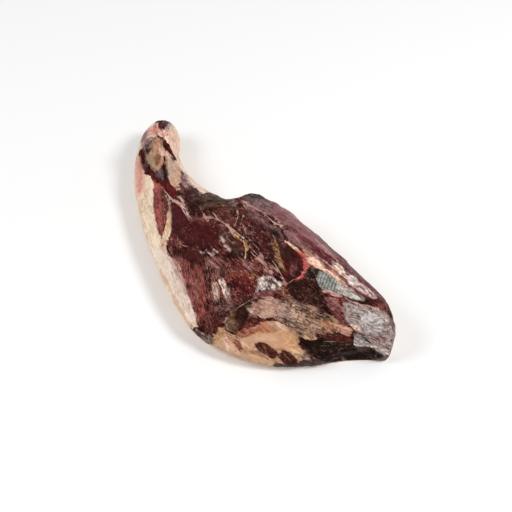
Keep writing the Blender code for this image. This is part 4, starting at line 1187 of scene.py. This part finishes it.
skinRise = markRise + reliefOf(skinPoints)
aboveBed = easeBetween(*relief["bed"], skinPoints[:, 2])
boxLow, boxHigh = (np.array(corner) for corner in cadBox)
moved = skinPoints + skinNormals * (skinRise * aboveBed / 1000)[:, None]
moved = np.clip(moved, boxLow, boxHigh)
putPoints(hamMesh, moved)


def hollows(points, rounds):
    # how deep each point lies below the skin round it, in millimetres
    even = smoothed(points, skinEdges, rounds, (0.6,))
    return ((even - points) * meshNormals(hamMesh)).sum(axis=1) * 1000


# fine and broad depths of the hollows, which drive painted shade in the pits and painted highlights on
# the crowns, and how broken up the washes are
worn = np.stack([hollows(moved, 3), hollows(moved, 30), washVary], axis=1)
print("relief raised, deepest", worn.max(axis=0).round(2))


def keepOnSkin(mesh, name, values):
    layer = mesh.attributes.new(name, "FLOAT_VECTOR", "POINT")
    layer.data.foreach_set("vector", values.astype(np.float32).ravel())


for first in range(0, len(finishNames), 3):
    trio = np.stack([fields[name] for name in finishNames[first:first + 3]], axis=1)
    keepOnSkin(hamMesh, "marks%d" % (first // 3), trio)
keepOnSkin(hamMesh, "grain", grain)
keepOnSkin(hamMesh, "worn", worn)
washLayer = hamMesh.attributes.new("wash", "FLOAT_COLOR", "POINT")
washLayer.data.foreach_set("color", washed.astype(np.float32).ravel())
hamMesh.polygons.foreach_set("use_smooth", np.ones(len(hamMesh.polygons), bool))

ham = put("ham", hamMesh)


# finishes
class Wire:
    # a socket that can stand in a sum
    def __init__(self, recipe, socket):
        self.recipe, self.socket = recipe, socket

    def other(self, number):
        # another output of the same node
        return Wire(self.recipe, self.socket.node.outputs[number])

    def sum(self, operation, first, second):
        return self.recipe.add("Math", {"operation": operation}, {0: first, 1: second})

    def __add__(self, other):
        return self.sum("ADD", self, other)

    def __sub__(self, other):
        return self.sum("SUBTRACT", self, other)

    def __rsub__(self, other):
        return self.sum("SUBTRACT", other, self)

    def __mul__(self, other):
        return self.sum("MULTIPLY", self, other)

    __radd__, __rmul__ = __add__, __mul__


class Recipe:
    # the nodes of one finish
    def __init__(self, name):
        self.material = bpy.data.materials.new(name)
        self.material.use_nodes = True
        self.tree = self.material.node_tree
        self.tree.nodes.clear()

    def add(self, kind, settings=None, values=None, out=0):
        node = self.tree.nodes.new("ShaderNode" + kind)
        for key, value in (settings or {}).items():
            if key == "stops":
                while len(node.color_ramp.elements) < len(value):
                    node.color_ramp.elements.new(0.5)
                for stop, (place, colour) in zip(node.color_ramp.elements, value):
                    stop.position, stop.color = place, colour
            else:
                setattr(node, key, value)
        for key, value in (values or {}).items():
            if isinstance(value, Wire):
                self.tree.links.new(value.socket, node.inputs[key])
            else:
                node.inputs[key].default_value = value
        return Wire(self, node.outputs[out]) if len(node.outputs) else None

    def blend(self, share, first, second, way="MIX"):
        return self.add("Mix", {"data_type": "RGBA", "blend_type": way},
                        {0: share, 6: first, 7: second}, 2)

    def step(self, value, low, high):
        return self.add("MapRange", {"interpolation_type": "SMOOTHSTEP"},
                        {0: value, 1: low, 2: high, 3: 0.0, 4: 1.0})

    def stretched(self, vector, scale):
        return self.add("VectorMath", {"operation": "MULTIPLY"}, {0: vector, 1: scale})

    def noise(self, vector, scale, detail=2.0, roughness=0.55):
        return self.add("TexNoise", values={
            "Vector": vector, "Scale": scale, "Detail": detail, "Roughness": roughness})


bareLean = {"tones": (tint(30, 6, 7), tint(112, 48, 42)), "rough": 0.42,
            "fleck": tint(196, 136, 122), "flecks": 0.75}
# tones of the dark crack lines, the pale veins, the painted shade in pits and the painted highlights on
# crowns
veinAndPaintedLight = {
    "fineDepth": (0.02, 0.5), "broadDepth": (0.3, 3.0),  # millimetres
    "pitShade": 0.9, "pitShadeTone": (0.13, 0.05, 0.045, 1.0),
    "crownDepth": (-0.03, -0.4),  # millimetres
    "crownHighlight": 0.8, "crownHighlightTone": (1.9, 1.8, 1.75, 1.0),
    "dark": 0.9, "darkTone": (0.16, 0.08, 0.07, 1.0),
    "pale": 0.85, "paleTone": (0.56, 0.36, 0.32, 1.0),
}
hamWash = {
    "share": 0.92,
    "dark": 1.0, "darkTone": (0.22, 0.14, 0.13, 1.0),
    "light": 1.0, "lightTone": (2.0, 2.15, 2.15, 1.0),
    "glints": 0.9, "glintTone": (0.42, 0.30, 0.27, 1.0),
}
grainBump = {"strength": 0.8, "reach": 0.0016, "fibre": 0.7, "mottle": 0.4, "grit": 0.5}
# lumps to a millimetre along, across and up the grain, detail, roughness
grainNoise = {
    "fibre": ((0.06, 0.5, 0.16), 3.0, 0.6),
    "fineFibre": ((0.12, 0.95, 0.5), 3.0, 0.62),
    # crackShade: the noise of the dark lines painted as shade in fine cracks
    "crackShade": ((0.03, 0.16, 0.08), 4.0, 0.62),
    "paleVein": ((0.05, 0.1, 0.08), 4.0, 0.62),
}
# lumps to a metre, detail, roughness
plainNoise = {"mottle": (210.0, 3.0, 0.6), "grit": (620.0, 3.0, 0.65), "cloud": (60.0, 3.0, 0.55)}
# where in its noise each line runs (the pale veins, and the dark lines painted as shade in fine cracks),
# how far the grit frays it, and its outer and inner edge
veinAndCrackLines = {"crackShade": (0.5, 0.05, 0.05, 0.028), "paleVein": (0.46, 0.04, 0.034, 0.022)}


def keptValues(made, name):
    # the three numbers that the skin keeps under a name
    kept = made.add("Attribute", {"attribute_name": name}, out=1)
    split = made.add("SeparateXYZ", values={0: kept})
    return split, split.other(1), split.other(2)


def hamPatterns(made):
    # the noises of the meat, and the patterns mixed from them
    place = made.add("TexCoord", out=3)
    grainPlace = made.add("Attribute", {"attribute_name": "grain"}, out=1)
    noises = {name: made.noise(made.stretched(grainPlace, stretch), 1.0, detail, roughness)
              for name, (stretch, detail, roughness) in grainNoise.items()}
    for name, (scale, detail, roughness) in plainNoise.items():
        noises[name] = made.noise(place, scale, detail, roughness)
    found = {name: made.step(noises[name], 0.3, 0.7)
             for name in ("fibre", "fineFibre", "mottle", "grit", "cloud")}
    fibre, mottle, grit, cloud = (found[name] for name in ("fibre", "mottle", "grit", "cloud"))
    found["strings"] = fibre * 0.45 + found["fineFibre"] * 0.35 + grit * 0.2
    found["stringy"] = made.step(found["strings"] * 0.8 + cloud * 0.2, 0.15, 0.85)
    found["even"] = made.step(cloud * 0.5 + mottle * 0.3 + fibre * 0.2, 0.1, 0.9)
    found["broken"] = made.step(mottle * 0.3 + grit * 0.1 + fibre * 0.35 + cloud * 0.25, 0.2, 0.8)
    return noises, found


def hamFinishes(made, found):
    # the bare lean, every finish over it, and how calm each makes the skin
    bare = made.step(found["strings"] * 0.6 + found["cloud"] * 0.4, 0.28, 0.74)
    fleck = made.step(found["fineFibre"] * 0.45 + found["grit"] * 0.3 + found["cloud"] * 0.25, 0.66, 0.82)
    colour = made.blend(bare, *bareLean["tones"])
    colour = made.blend(fleck * bareLean["flecks"], colour, bareLean["fleck"])
    rough = found["cloud"] * 0.2 + (bareLean["rough"] - 0.1)
    height = found["strings"]
    channels = {}
    for first in range(0, len(finishNames), 3):
        channels.update(zip(finishNames[first:first + 3], keptValues(made, "marks%d" % (first // 3))))
    for name, inward in channels.items():
        dark, light, roughness, ragged, soft, way = hamFinish[name]
        share = made.step(found[way] * (2 * ragged) + inward - ragged, -soft, soft)
        tone = found[way] if way == "even" else 1 - found[way]
        colour = made.blend(share, colour, made.blend(tone, tint(*dark), tint(*light)))
        rough = made.add("Mix", {"data_type": "FLOAT"}, {0: share, 2: rough, 3: roughness})
        if name in ("cream", "wine"):
            height = made.add("Mix", {"data_type": "FLOAT"}, {0: share, 2: height, 3: 0.5})
            calm = share if name == "cream" else made.add("Math", {"operation": "MAXIMUM"},
                                                          {0: calm, 1: share * 0.6})
    return colour, rough, height, calm


def hamWashed(made, colour, found, vary):
    # the washes, in streaks of a darker and a lighter tone, with glints
    wash = made.add("Attribute", {"attribute_name": "wash"})
    cover = wash.other(3)
    share = made.step(cover * (1 + 0.9 * vary) - (1 - found["stringy"]) * 0.9 * vary, 0.1, 0.9)
    streaks = made.step(found["strings"] * 0.6 + found["mottle"] * 0.25 + found["cloud"] * 0.15,
                        0.33, 0.67)
    darker = made.blend(vary * hamWash["dark"], (1.0, 1.0, 1.0, 1.0), hamWash["darkTone"])
    lighter = made.blend(vary * hamWash["light"], (1.0, 1.0, 1.0, 1.0), hamWash["lightTone"])
    shade = made.blend(1.0, wash, made.blend(streaks, darker, lighter), "MULTIPLY")
    colour = made.blend(share * hamWash["share"], colour, shade)
    glint = made.step(found["fineFibre"] * 0.5 + found["grit"] * 0.3 + found["mottle"] * 0.2, 0.8, 0.9)
    return made.blend(glint * vary * hamWash["glints"], colour, hamWash["glintTone"], "SCREEN")


def lineShare(made, noises, name):
    middle, fray, outer, inner = veinAndCrackLines[name]
    off = made.add("Math", {"operation": "ABSOLUTE"}, {0: noises[name] - middle})
    return made.step(off + noises["grit"] * fray, outer, inner)


def hamVeinsAndPaintedLight(made, colour, noises, calm, hollowsAndVary):
    # the dark lines painted as shade in fine cracks, the pale veins, painted shade in the pits and
    # painted highlights on the crowns
    fineHollow, broadHollow, vary = hollowsAndVary
    # dark lines painted as the shade in fine cracks
    dark = lineShare(made, noises, "crackShade") * (1 - calm) * vary
    colour = made.blend(dark * veinAndPaintedLight["dark"], colour, veinAndPaintedLight["darkTone"], "MULTIPLY")
    pale = lineShare(made, noises, "paleVein") * made.step(noises["cloud"], 0.45, 0.6)
    colour = made.blend(pale * (1 - calm) * vary * veinAndPaintedLight["pale"], colour, veinAndPaintedLight["paleTone"])
    # painted shade: darker in the pits of the relief
    pitShade = (made.step(fineHollow, *veinAndPaintedLight["fineDepth"]) * 0.5
            + made.step(broadHollow, *veinAndPaintedLight["broadDepth"]) * 0.5)
    pitShade = pitShade * (1 - calm * 0.8) * (vary * 0.8 + 0.3)
    colour = made.blend(pitShade * veinAndPaintedLight["pitShade"], colour, veinAndPaintedLight["pitShadeTone"], "MULTIPLY")
    # painted highlight: lighter on the raised crowns of the relief
    crownHighlight = made.step(fineHollow, *veinAndPaintedLight["crownDepth"])
    return made.blend(crownHighlight * veinAndPaintedLight["crownHighlight"] * vary, colour, veinAndPaintedLight["crownHighlightTone"], "MULTIPLY")


def meatMaterial():
    made = Recipe("curedHam")
    noises, found = hamPatterns(made)
    worn = keptValues(made, "worn")
    colour, rough, height, calm = hamFinishes(made, found)
    colour = hamWashed(made, colour, found, worn[2])
    colour = hamVeinsAndPaintedLight(made, colour, noises, calm, worn)
    height = height * grainBump["fibre"] + noises["mottle"] * grainBump["mottle"]
    height = height + noises["grit"] * grainBump["grit"]
    bump = made.add("Bump", values={
        "Strength": grainBump["strength"], "Distance": grainBump["reach"], "Height": height})
    shader = made.add("BsdfPrincipled", values={
        "Base Color": colour, "Roughness": rough, "Normal": bump, "Specular IOR Level": 0.06,
        "Coat Weight": calm * 0.06 + 0.01, "Coat Roughness": 0.16,
        "Subsurface Weight": 0.05, "Subsurface Radius": (1.0, 0.4, 0.25), "Subsurface Scale": 0.002,
    })
    made.add("OutputMaterial", values={0: shader})
    return made.material


ham.data.materials.append(meatMaterial())
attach(ham, "root")
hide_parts("lean_meat", "fat_cap")
print("ham finished")

# sinew strands that stand on the skin
strandShape = {
    "wide": 0.75,  # of the width drawn
    "sink": 0.3, "flat": 0.55,  # of the radius
    "sides": 6,
    "step": 1.3,  # pixels between rings
    "waver": 0.45, "waverLength": 5.0,  # pixels
    "swell": 0.35,  # of the radius
    "taper": 0.4, "end": 0.08,  # how blunt the ends are, and how wide
    "inBox": 0.0001,  # metres
    "tone": 0.75, "warmth": 0.3,  # of the strands drawn one by one
    "bow": 0.12, "scatter": 0.6,  # radians, share of the spread
    "seed": 7,
}
sinews = [
    # points in pixels of the picture, and width in pixels at the middle
    ([(158, 182), (162, 187), (166, 193), (170, 198), (175, 201), (179, 205), (183, 210), (187, 216),
     (190, 221)], 2.0),
    ([(164, 191), (168, 199), (169.5, 206), (169.5, 214), (169, 222)], 1.2),
    ([(179, 196), (181, 199), (184, 203)], 1.6),
    ([(200, 204), (202, 212), (206, 220), (211, 225)], 0.7),
    ([(210, 211), (214, 214), (217, 218), (220, 221), (225, 224), (229, 228)], 1.6),
    ([(210, 217), (214, 218), (219, 221)], 0.9),
    ([(228, 227), (231, 231), (233, 235), (235, 238)], 1.7),
    ([(229, 226), (234, 230), (239, 235), (243, 238)], 1.6),
    ([(243, 237), (244, 242), (245.5, 247), (246, 253), (244, 259)], 1.7),
    ([(238, 211), (238, 216), (236, 222), (234, 227)], 0.9),
    ([(243.5, 215), (241.5, 220), (240, 229)], 0.9),
    ([(241, 223), (244, 227), (245.5, 233)], 0.8),
    ([(250, 220), (249, 227), (247.5, 233)], 0.6),
    ([(249, 244), (252, 248), (256, 253), (259, 257)], 0.9),
    ([(250, 250), (254, 256), (259, 259), (263, 264), (268, 269), (272, 275), (276, 280)], 1.4),
    ([(270, 257), (273, 261), (276, 266), (279, 271), (282, 276), (286, 283)], 1.3),
    ([(240, 199), (246, 203), (253, 207), (261, 211), (267, 216), (271, 220), (276, 223), (281, 226)],
     0.9),
    ([(268, 217), (272, 221), (277, 224), (282, 226)], 1.6),
    ([(282, 226), (289, 232), (296, 238), (303, 245), (309, 253)], 0.8),
    ([(240, 201), (244, 206), (247, 210)], 0.9),
    ([(287, 215), (290, 220), (294, 224)], 0.6),
    ([(258, 203), (261, 206), (264, 208)], 0.8),
    ([(196, 245), (199, 249), (202, 255)], 0.8),
    ([(176, 237), (179, 242), (184, 246), (190, 248)], 0.8),
    ([(230, 316), (236, 309), (244, 304), (252, 299), (258, 296)], 0.9),
    ([(272, 234), (275, 238), (276, 243)], 0.8),
    ([(330, 251), (335, 258), (340, 266), (345, 273)], 1.3),
    ([(344, 275), (350, 280), (357, 286)], 1.0),
    ([(306, 250), (311, 254), (318, 260), (325, 265)], 1.0),
    ([(320, 292), (327, 291), (335, 293), (342, 296)], 1.2),
    ([(343, 298), (352, 301.5), (362, 305), (371, 306), (379, 309)], 1.2),
    ([(256, 343), (260, 349), (266, 355), (273, 360)], 0.8),
    ([(205, 262), (208, 270), (209, 280)], 0.7),
    ([(211, 290), (213, 296), (214, 302)], 0.8),
    ([(324, 341.5), (331, 341.2), (338, 341.6)], 0.8),
    ([(282, 287), (283, 293), (286, 300)], 0.9),
    ([(284, 286), (289, 283), (294, 279)], 0.8),
]
fibreZones = [
    # outline, how many, way in the picture, spread in degrees, length, width,
    # tone from 0 red brown to 1 white, warmth
    ([(176, 248), (198, 254), (210, 275), (212, 325), (204, 330), (194, 312), (184, 280)], 110, (0.26, 1),
     6, (5, 17), (0.5, 1.1), (0.1, 0.45), 0.3),
    ([(169, 258), (182, 272), (196, 320), (189, 318), (172, 285)], 60, (0.36, 1), 5, (5, 16), (0.4, 0.9),
     (0.6, 1.0), 0.2),
    ([(169, 258), (182, 272), (194, 312), (187, 312), (172, 285)], 26, (0.36, 1), 5, (4, 12), (0.4, 0.7),
     (0.0, 0.3), 0.0),
    ([(202, 254), (245, 260), (262, 278), (244, 292), (215, 284)], 90, (0.12, 1), 22, (2.5, 9),
     (0.4, 0.9), (0.15, 0.6), 0.1),
    ([(213, 290), (240, 290), (236, 308), (224, 320), (214, 315)], 110, (0.7, 1), 40, (1.5, 4.5),
     (0.4, 0.9), (0.2, 0.7), 0.1),
    ([(244, 200), (262, 200), (300, 222), (340, 258), (320, 256), (284, 232), (262, 216)], 80, (1, 0.76),
     7, (6, 22), (0.35, 0.8), (0.15, 0.6), 0.0),
    ([(330, 247), (352, 266), (382, 298), (366, 296), (340, 270)], 60, (1, 0.86), 8, (4, 16), (0.5, 1.2),
     (0.1, 0.9), 0.2),
    ([(200, 196), (236, 203), (236, 214), (214, 216), (200, 210)], 80, (1, 0.8), 80, (1.2, 4), (0.4, 0.8),
     (0.1, 0.6), 0.9),
    ([(180, 188), (200, 192), (202, 222), (192, 218), (184, 204)], 50, (0.1, 1), 16, (2, 8), (0.35, 0.8),
     (0.1, 0.5), 0.2),
    ([(214, 206), (262, 210), (272, 236), (264, 250), (240, 246), (216, 226)], 110, (0.25, 1), 35, (2, 7),
     (0.35, 0.8), (0.1, 0.6), 0.3),
    ([(214, 230), (240, 246), (276, 262), (282, 278), (262, 268), (240, 258), (216, 246)], 70, (1, 0.9),
     25, (2, 9), (0.35, 0.8), (0.1, 0.6), 0.1),
    ([(264, 299), (288, 303), (318, 320), (322, 333), (300, 334), (282, 324), (266, 312)], 120, (1, 0.6),
     16, (3, 12), (0.5, 1.2), (0.25, 0.8), 0.5),
    ([(344, 301), (384, 311), (394, 328), (388, 344), (366, 334), (346, 320)], 110, (1, 0.5), 80, (2, 7),
     (0.4, 1.1), (0.1, 0.9), 0.0),
    ([(154, 184), (160, 186), (168, 200), (168, 214), (162, 232), (156, 224)], 70, (0.2, 1), 14,
     (1.2, 4.5), (0.4, 0.8), (0.35, 0.85), 0.4),
    ([(286, 284), (312, 281), (324, 296), (322, 306), (300, 300)], 70, (0.9, 0.8), 20, (3, 10),
     (0.4, 0.9), (0.0, 0.4), 0.3),
    ([(326, 297), (338, 297), (345, 316), (336, 318)], 34, (0.5, 1), 14, (3, 9), (0.4, 0.9), (0.05, 0.4),
     0.2),
    ([(320, 342), (352, 342), (378, 354), (350, 362), (324, 360)], 46, (1, -0.15), 20, (3, 10),
     (0.5, 1.0), (0.0, 0.3), 0.6),
    ([(352, 322), (374, 332), (388, 350), (372, 346), (354, 334)], 50, (1, 0.6), 16, (3, 9), (0.5, 1.2),
     (0.4, 1.0), 0.2),
    ([(312, 322), (346, 326), (350, 336), (318, 334)], 40, (1, 0.3), 10, (4, 10), (0.5, 1.1), (0.2, 0.7),
     1.0),
    ([(226, 316), (236, 310), (238, 328), (228, 330)], 20, (0.3, 1), 25, (1.5, 4), (0.5, 1.0), (0.3, 0.8),
     0.5),
    ([(255, 344), (276, 350), (294, 356), (290, 364), (268, 356)], 40, (1, 0.5), 25, (1.5, 5),
     (0.35, 0.7), (0.1, 0.6), 0.2),
    ([(144, 200), (152, 206), (164, 248), (176, 280), (160, 262), (146, 226)], 26, (0.3, 1), 12, (3, 9),
     (0.4, 0.8), (0.7, 1.0), 0.4),
]


def insideOf(place, outline):
    return edgeDistance(np.array([place], float), np.array(outline, float), True)[1][0]


def scattered(zones):
    # short fibres in each zone, the same ones every time
    chance = np.random.default_rng(strandShape["seed"])
    made = []
    for outline, count, way, spread, lengths, widths, tones, warmth in zones:
        least, most = np.min(outline, axis=0), np.max(outline, axis=0)
        middleTurn = math.atan2(way[1], way[0])
        laid = 0
        while laid < count:
            start = least + (most - least) * chance.random(2)
            if not insideOf(start, outline):
                continue
            turn = middleTurn + math.radians(spread) * chance.normal() * strandShape["scatter"]
            length = lengths[0] + (lengths[1] - lengths[0]) * chance.random() ** 2
            bow = chance.normal() * strandShape["bow"]
            points = [start + length * share * np.array([math.cos(turn + bow * share),
                                                         math.sin(turn + bow * share)])
                      for share in (0, 0.35, 0.7, 1)]
            wide = widths[0] + (widths[1] - widths[0]) * chance.random() ** 2
            tone = tones[0] + (tones[1] - tones[0]) * chance.random()
            made.append((points, wide, tone, warmth * chance.random()))
            laid += 1
    return made


def strandMesh(lines, settings):
    skinTree = BVHTree.FromObject(ham, bpy.context.evaluated_depsgraph_get())
    perPixel = photoView["distance"] / pixelsPerSlope
    sides = settings["sides"]
    vertices, faces, colours = [], [], []
    for number, (points, wide, tone, warmth) in enumerate(lines):
        path = rounded(points, False)
        lengths = np.concatenate([[0], np.cumsum(np.linalg.norm(np.diff(path, axis=0), axis=1))])
        count = max(int(lengths[-1] / settings["step"]), 3)
        marks = np.linspace(0, lengths[-1], count)
        pixels = np.stack([np.interp(marks, lengths, column) for column in path.T], axis=1)
        waver = np.stack([marks / settings["waverLength"], np.full(count, number * 3.7),
                          np.zeros(count)], axis=1)
        pixels += settings["waver"] * np.stack([unevenness(waver, seed) for seed in (51, 52)], axis=1)
        hits = [skinTree.ray_cast(*sightLine(pixel)) for pixel in pixels]
        hits = [(np.array(hit[0]), np.array(hit[1])) for hit in hits if hit[0] is not None]
        if len(hits) < 3:
            continue
        middle = np.array([hit[0] for hit in hits])
        up = np.array([hit[1] for hit in hits])
        middle[1:-1] = (middle[:-2] + 2 * middle[1:-1] + middle[2:]) / 4
        way = np.gradient(middle, axis=0)
        way /= np.linalg.norm(way, axis=1)[:, None] + 1e-12
        side = np.cross(way, up)
        side /= np.linalg.norm(side, axis=1)[:, None] + 1e-12
        share = np.linspace(0, 1, len(hits))
        along = np.stack([share * len(hits) / 4, np.full(len(hits), number), share * 0], axis=1)
        swell = 1 + settings["swell"] * unevenness(along, 53)
        taper = np.maximum(np.sin(math.pi * share) ** settings["taper"], settings["end"])
        radius = wide * perPixel / 2 * settings["wide"] * swell * taper
        first = len(vertices)
        for ring in range(len(hits)):
            for turn in range(sides):
                angle = 2 * math.pi * turn / sides
                vertices.append(middle[ring] + side[ring] * math.cos(angle) * radius[ring]
                                + up[ring] * (math.sin(angle) * settings["flat"] - settings["sink"])
                                * radius[ring])
                colours.append((tone, warmth, 0.0))
        for ring in range(len(hits) - 1):
            for turn in range(sides):
                here, after = first + ring * sides, first + (ring + 1) * sides
                faces.append((here + turn, here + (turn + 1) % sides, after + (turn + 1) % sides,
                              after + turn))
        faces.append(tuple(range(first + sides - 1, first - 1, -1)))
        last = first + (len(hits) - 1) * sides
        faces.append(tuple(range(last, last + sides)))
    mesh = bpy.data.meshes.new("sinewStrands")
    vertices = np.clip(vertices, boxLow + settings["inBox"], boxHigh - settings["inBox"])
    mesh.from_pydata(vertices.tolist(), [], faces)
    mesh.polygons.foreach_set("use_smooth", np.ones(len(mesh.polygons), bool))
    mesh.update()
    keepOnSkin(mesh, "tone", np.array(colours))
    return mesh


def sinewMaterial():
    made = Recipe("sinewStrand")
    place = made.add("TexCoord", out=3)
    cloud, grit = made.noise(place, 90.0, 2.0), made.noise(place, 700.0, 2.0)
    tone, warmth, spare = keptValues(made, "tone")
    tone = tone + cloud * 0.5 + grit * 0.5 - 0.5
    stops = [(0.0, tint(84, 34, 30)), (0.35, tint(146, 84, 72)), (0.7, tint(194, 146, 130)),
             (1.0, tint(232, 210, 198))]
    colour = made.add("ValToRGB", {"stops": stops}, {0: tone})
    colour = made.blend(warmth * 0.6, colour, tint(196, 146, 84), "SOFT_LIGHT")
    bump = made.add("Bump", values={"Strength": 0.4, "Distance": 0.0006, "Height": grit})
    shader = made.add("BsdfPrincipled", values={
        "Base Color": colour, "Roughness": grit * 0.3 + 0.25, "Normal": bump, "Specular IOR Level": 0.3,
        "Subsurface Weight": 0.1, "Subsurface Radius": (1.0, 0.5, 0.35), "Subsurface Scale": 0.002,
    })
    made.add("OutputMaterial", values={0: shader})
    return made.material


strands = [(points, wide, strandShape["tone"], strandShape["warmth"]) for points, wide in sinews]
strands += scattered(fibreZones)
sinewStrands = put("sinewStrands", strandMesh(strands, strandShape))
sinewStrands.data.materials.append(sinewMaterial())
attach(sinewStrands, "root")
print("sinew laid on:", len(strands), "strands")

# table, light and camera
studio = {
    "table": tint(250, 250, 250),
    "reach": 4.0,  # metres from the middle of the table to its edges
    "sky": 0.5,
    "aim": (0, 0, 0.04),  # where the lamps point
    "lamps": [
        # where from, size, watts
        ((1.3, 0.9, 2.0), 0.8, 30.0),
        ((-0.9, -1.6, 2.2), 1.4, 25.0),
    ],
}
tableMesh = bpy.data.meshes.new("table")
tableMesh.from_pydata([(studio["reach"] * x, studio["reach"] * y, 0)
                       for x, y in ((-1, -1), (1, -1), (1, 1), (-1, 1))], [], [(0, 1, 2, 3)])
table = put("table", tableMesh)
plain = Recipe("paleTable")
plain.add("OutputMaterial", values={0: plain.add("BsdfPrincipled", values={
    "Base Color": studio["table"], "Roughness": 0.7, "Specular IOR Level": 0.2})})
table.data.materials.append(plain.material)

world = bpy.data.worlds.new("studio")
bpy.context.scene.world = world
world.use_nodes = True
sky = world.node_tree.nodes["Background"].inputs
sky[0].default_value, sky[1].default_value = (1.0, 1.0, 1.0, 1.0), studio["sky"]
for number, (spot, size, power) in enumerate(studio["lamps"]):
    light = bpy.data.lights.new("lamp%d" % number, "AREA")
    light.shape, light.size, light.energy = "DISK", size, power
    lamp = put("lamp%d" % number, light)
    lamp.location = spot
    away = Vector(studio["aim"]) - Vector(spot)
    lamp.rotation_euler = away.to_track_quat("-Z", "Y").to_euler()

camera = put("camera", bpy.data.cameras.new("camera"))
camera.data.lens, camera.data.sensor_width = photoView["lens"], photoView["sensor"]
placed = np.column_stack([viewRight, viewUp, viewBack, viewFrom]).tolist()
camera.matrix_world = Matrix(placed + [[0, 0, 0, 1]])
bpy.context.scene.camera = camera
bpy.context.scene.view_settings.view_transform = "Standard"  # shows the colours as they are
print("table, lamps and camera set")
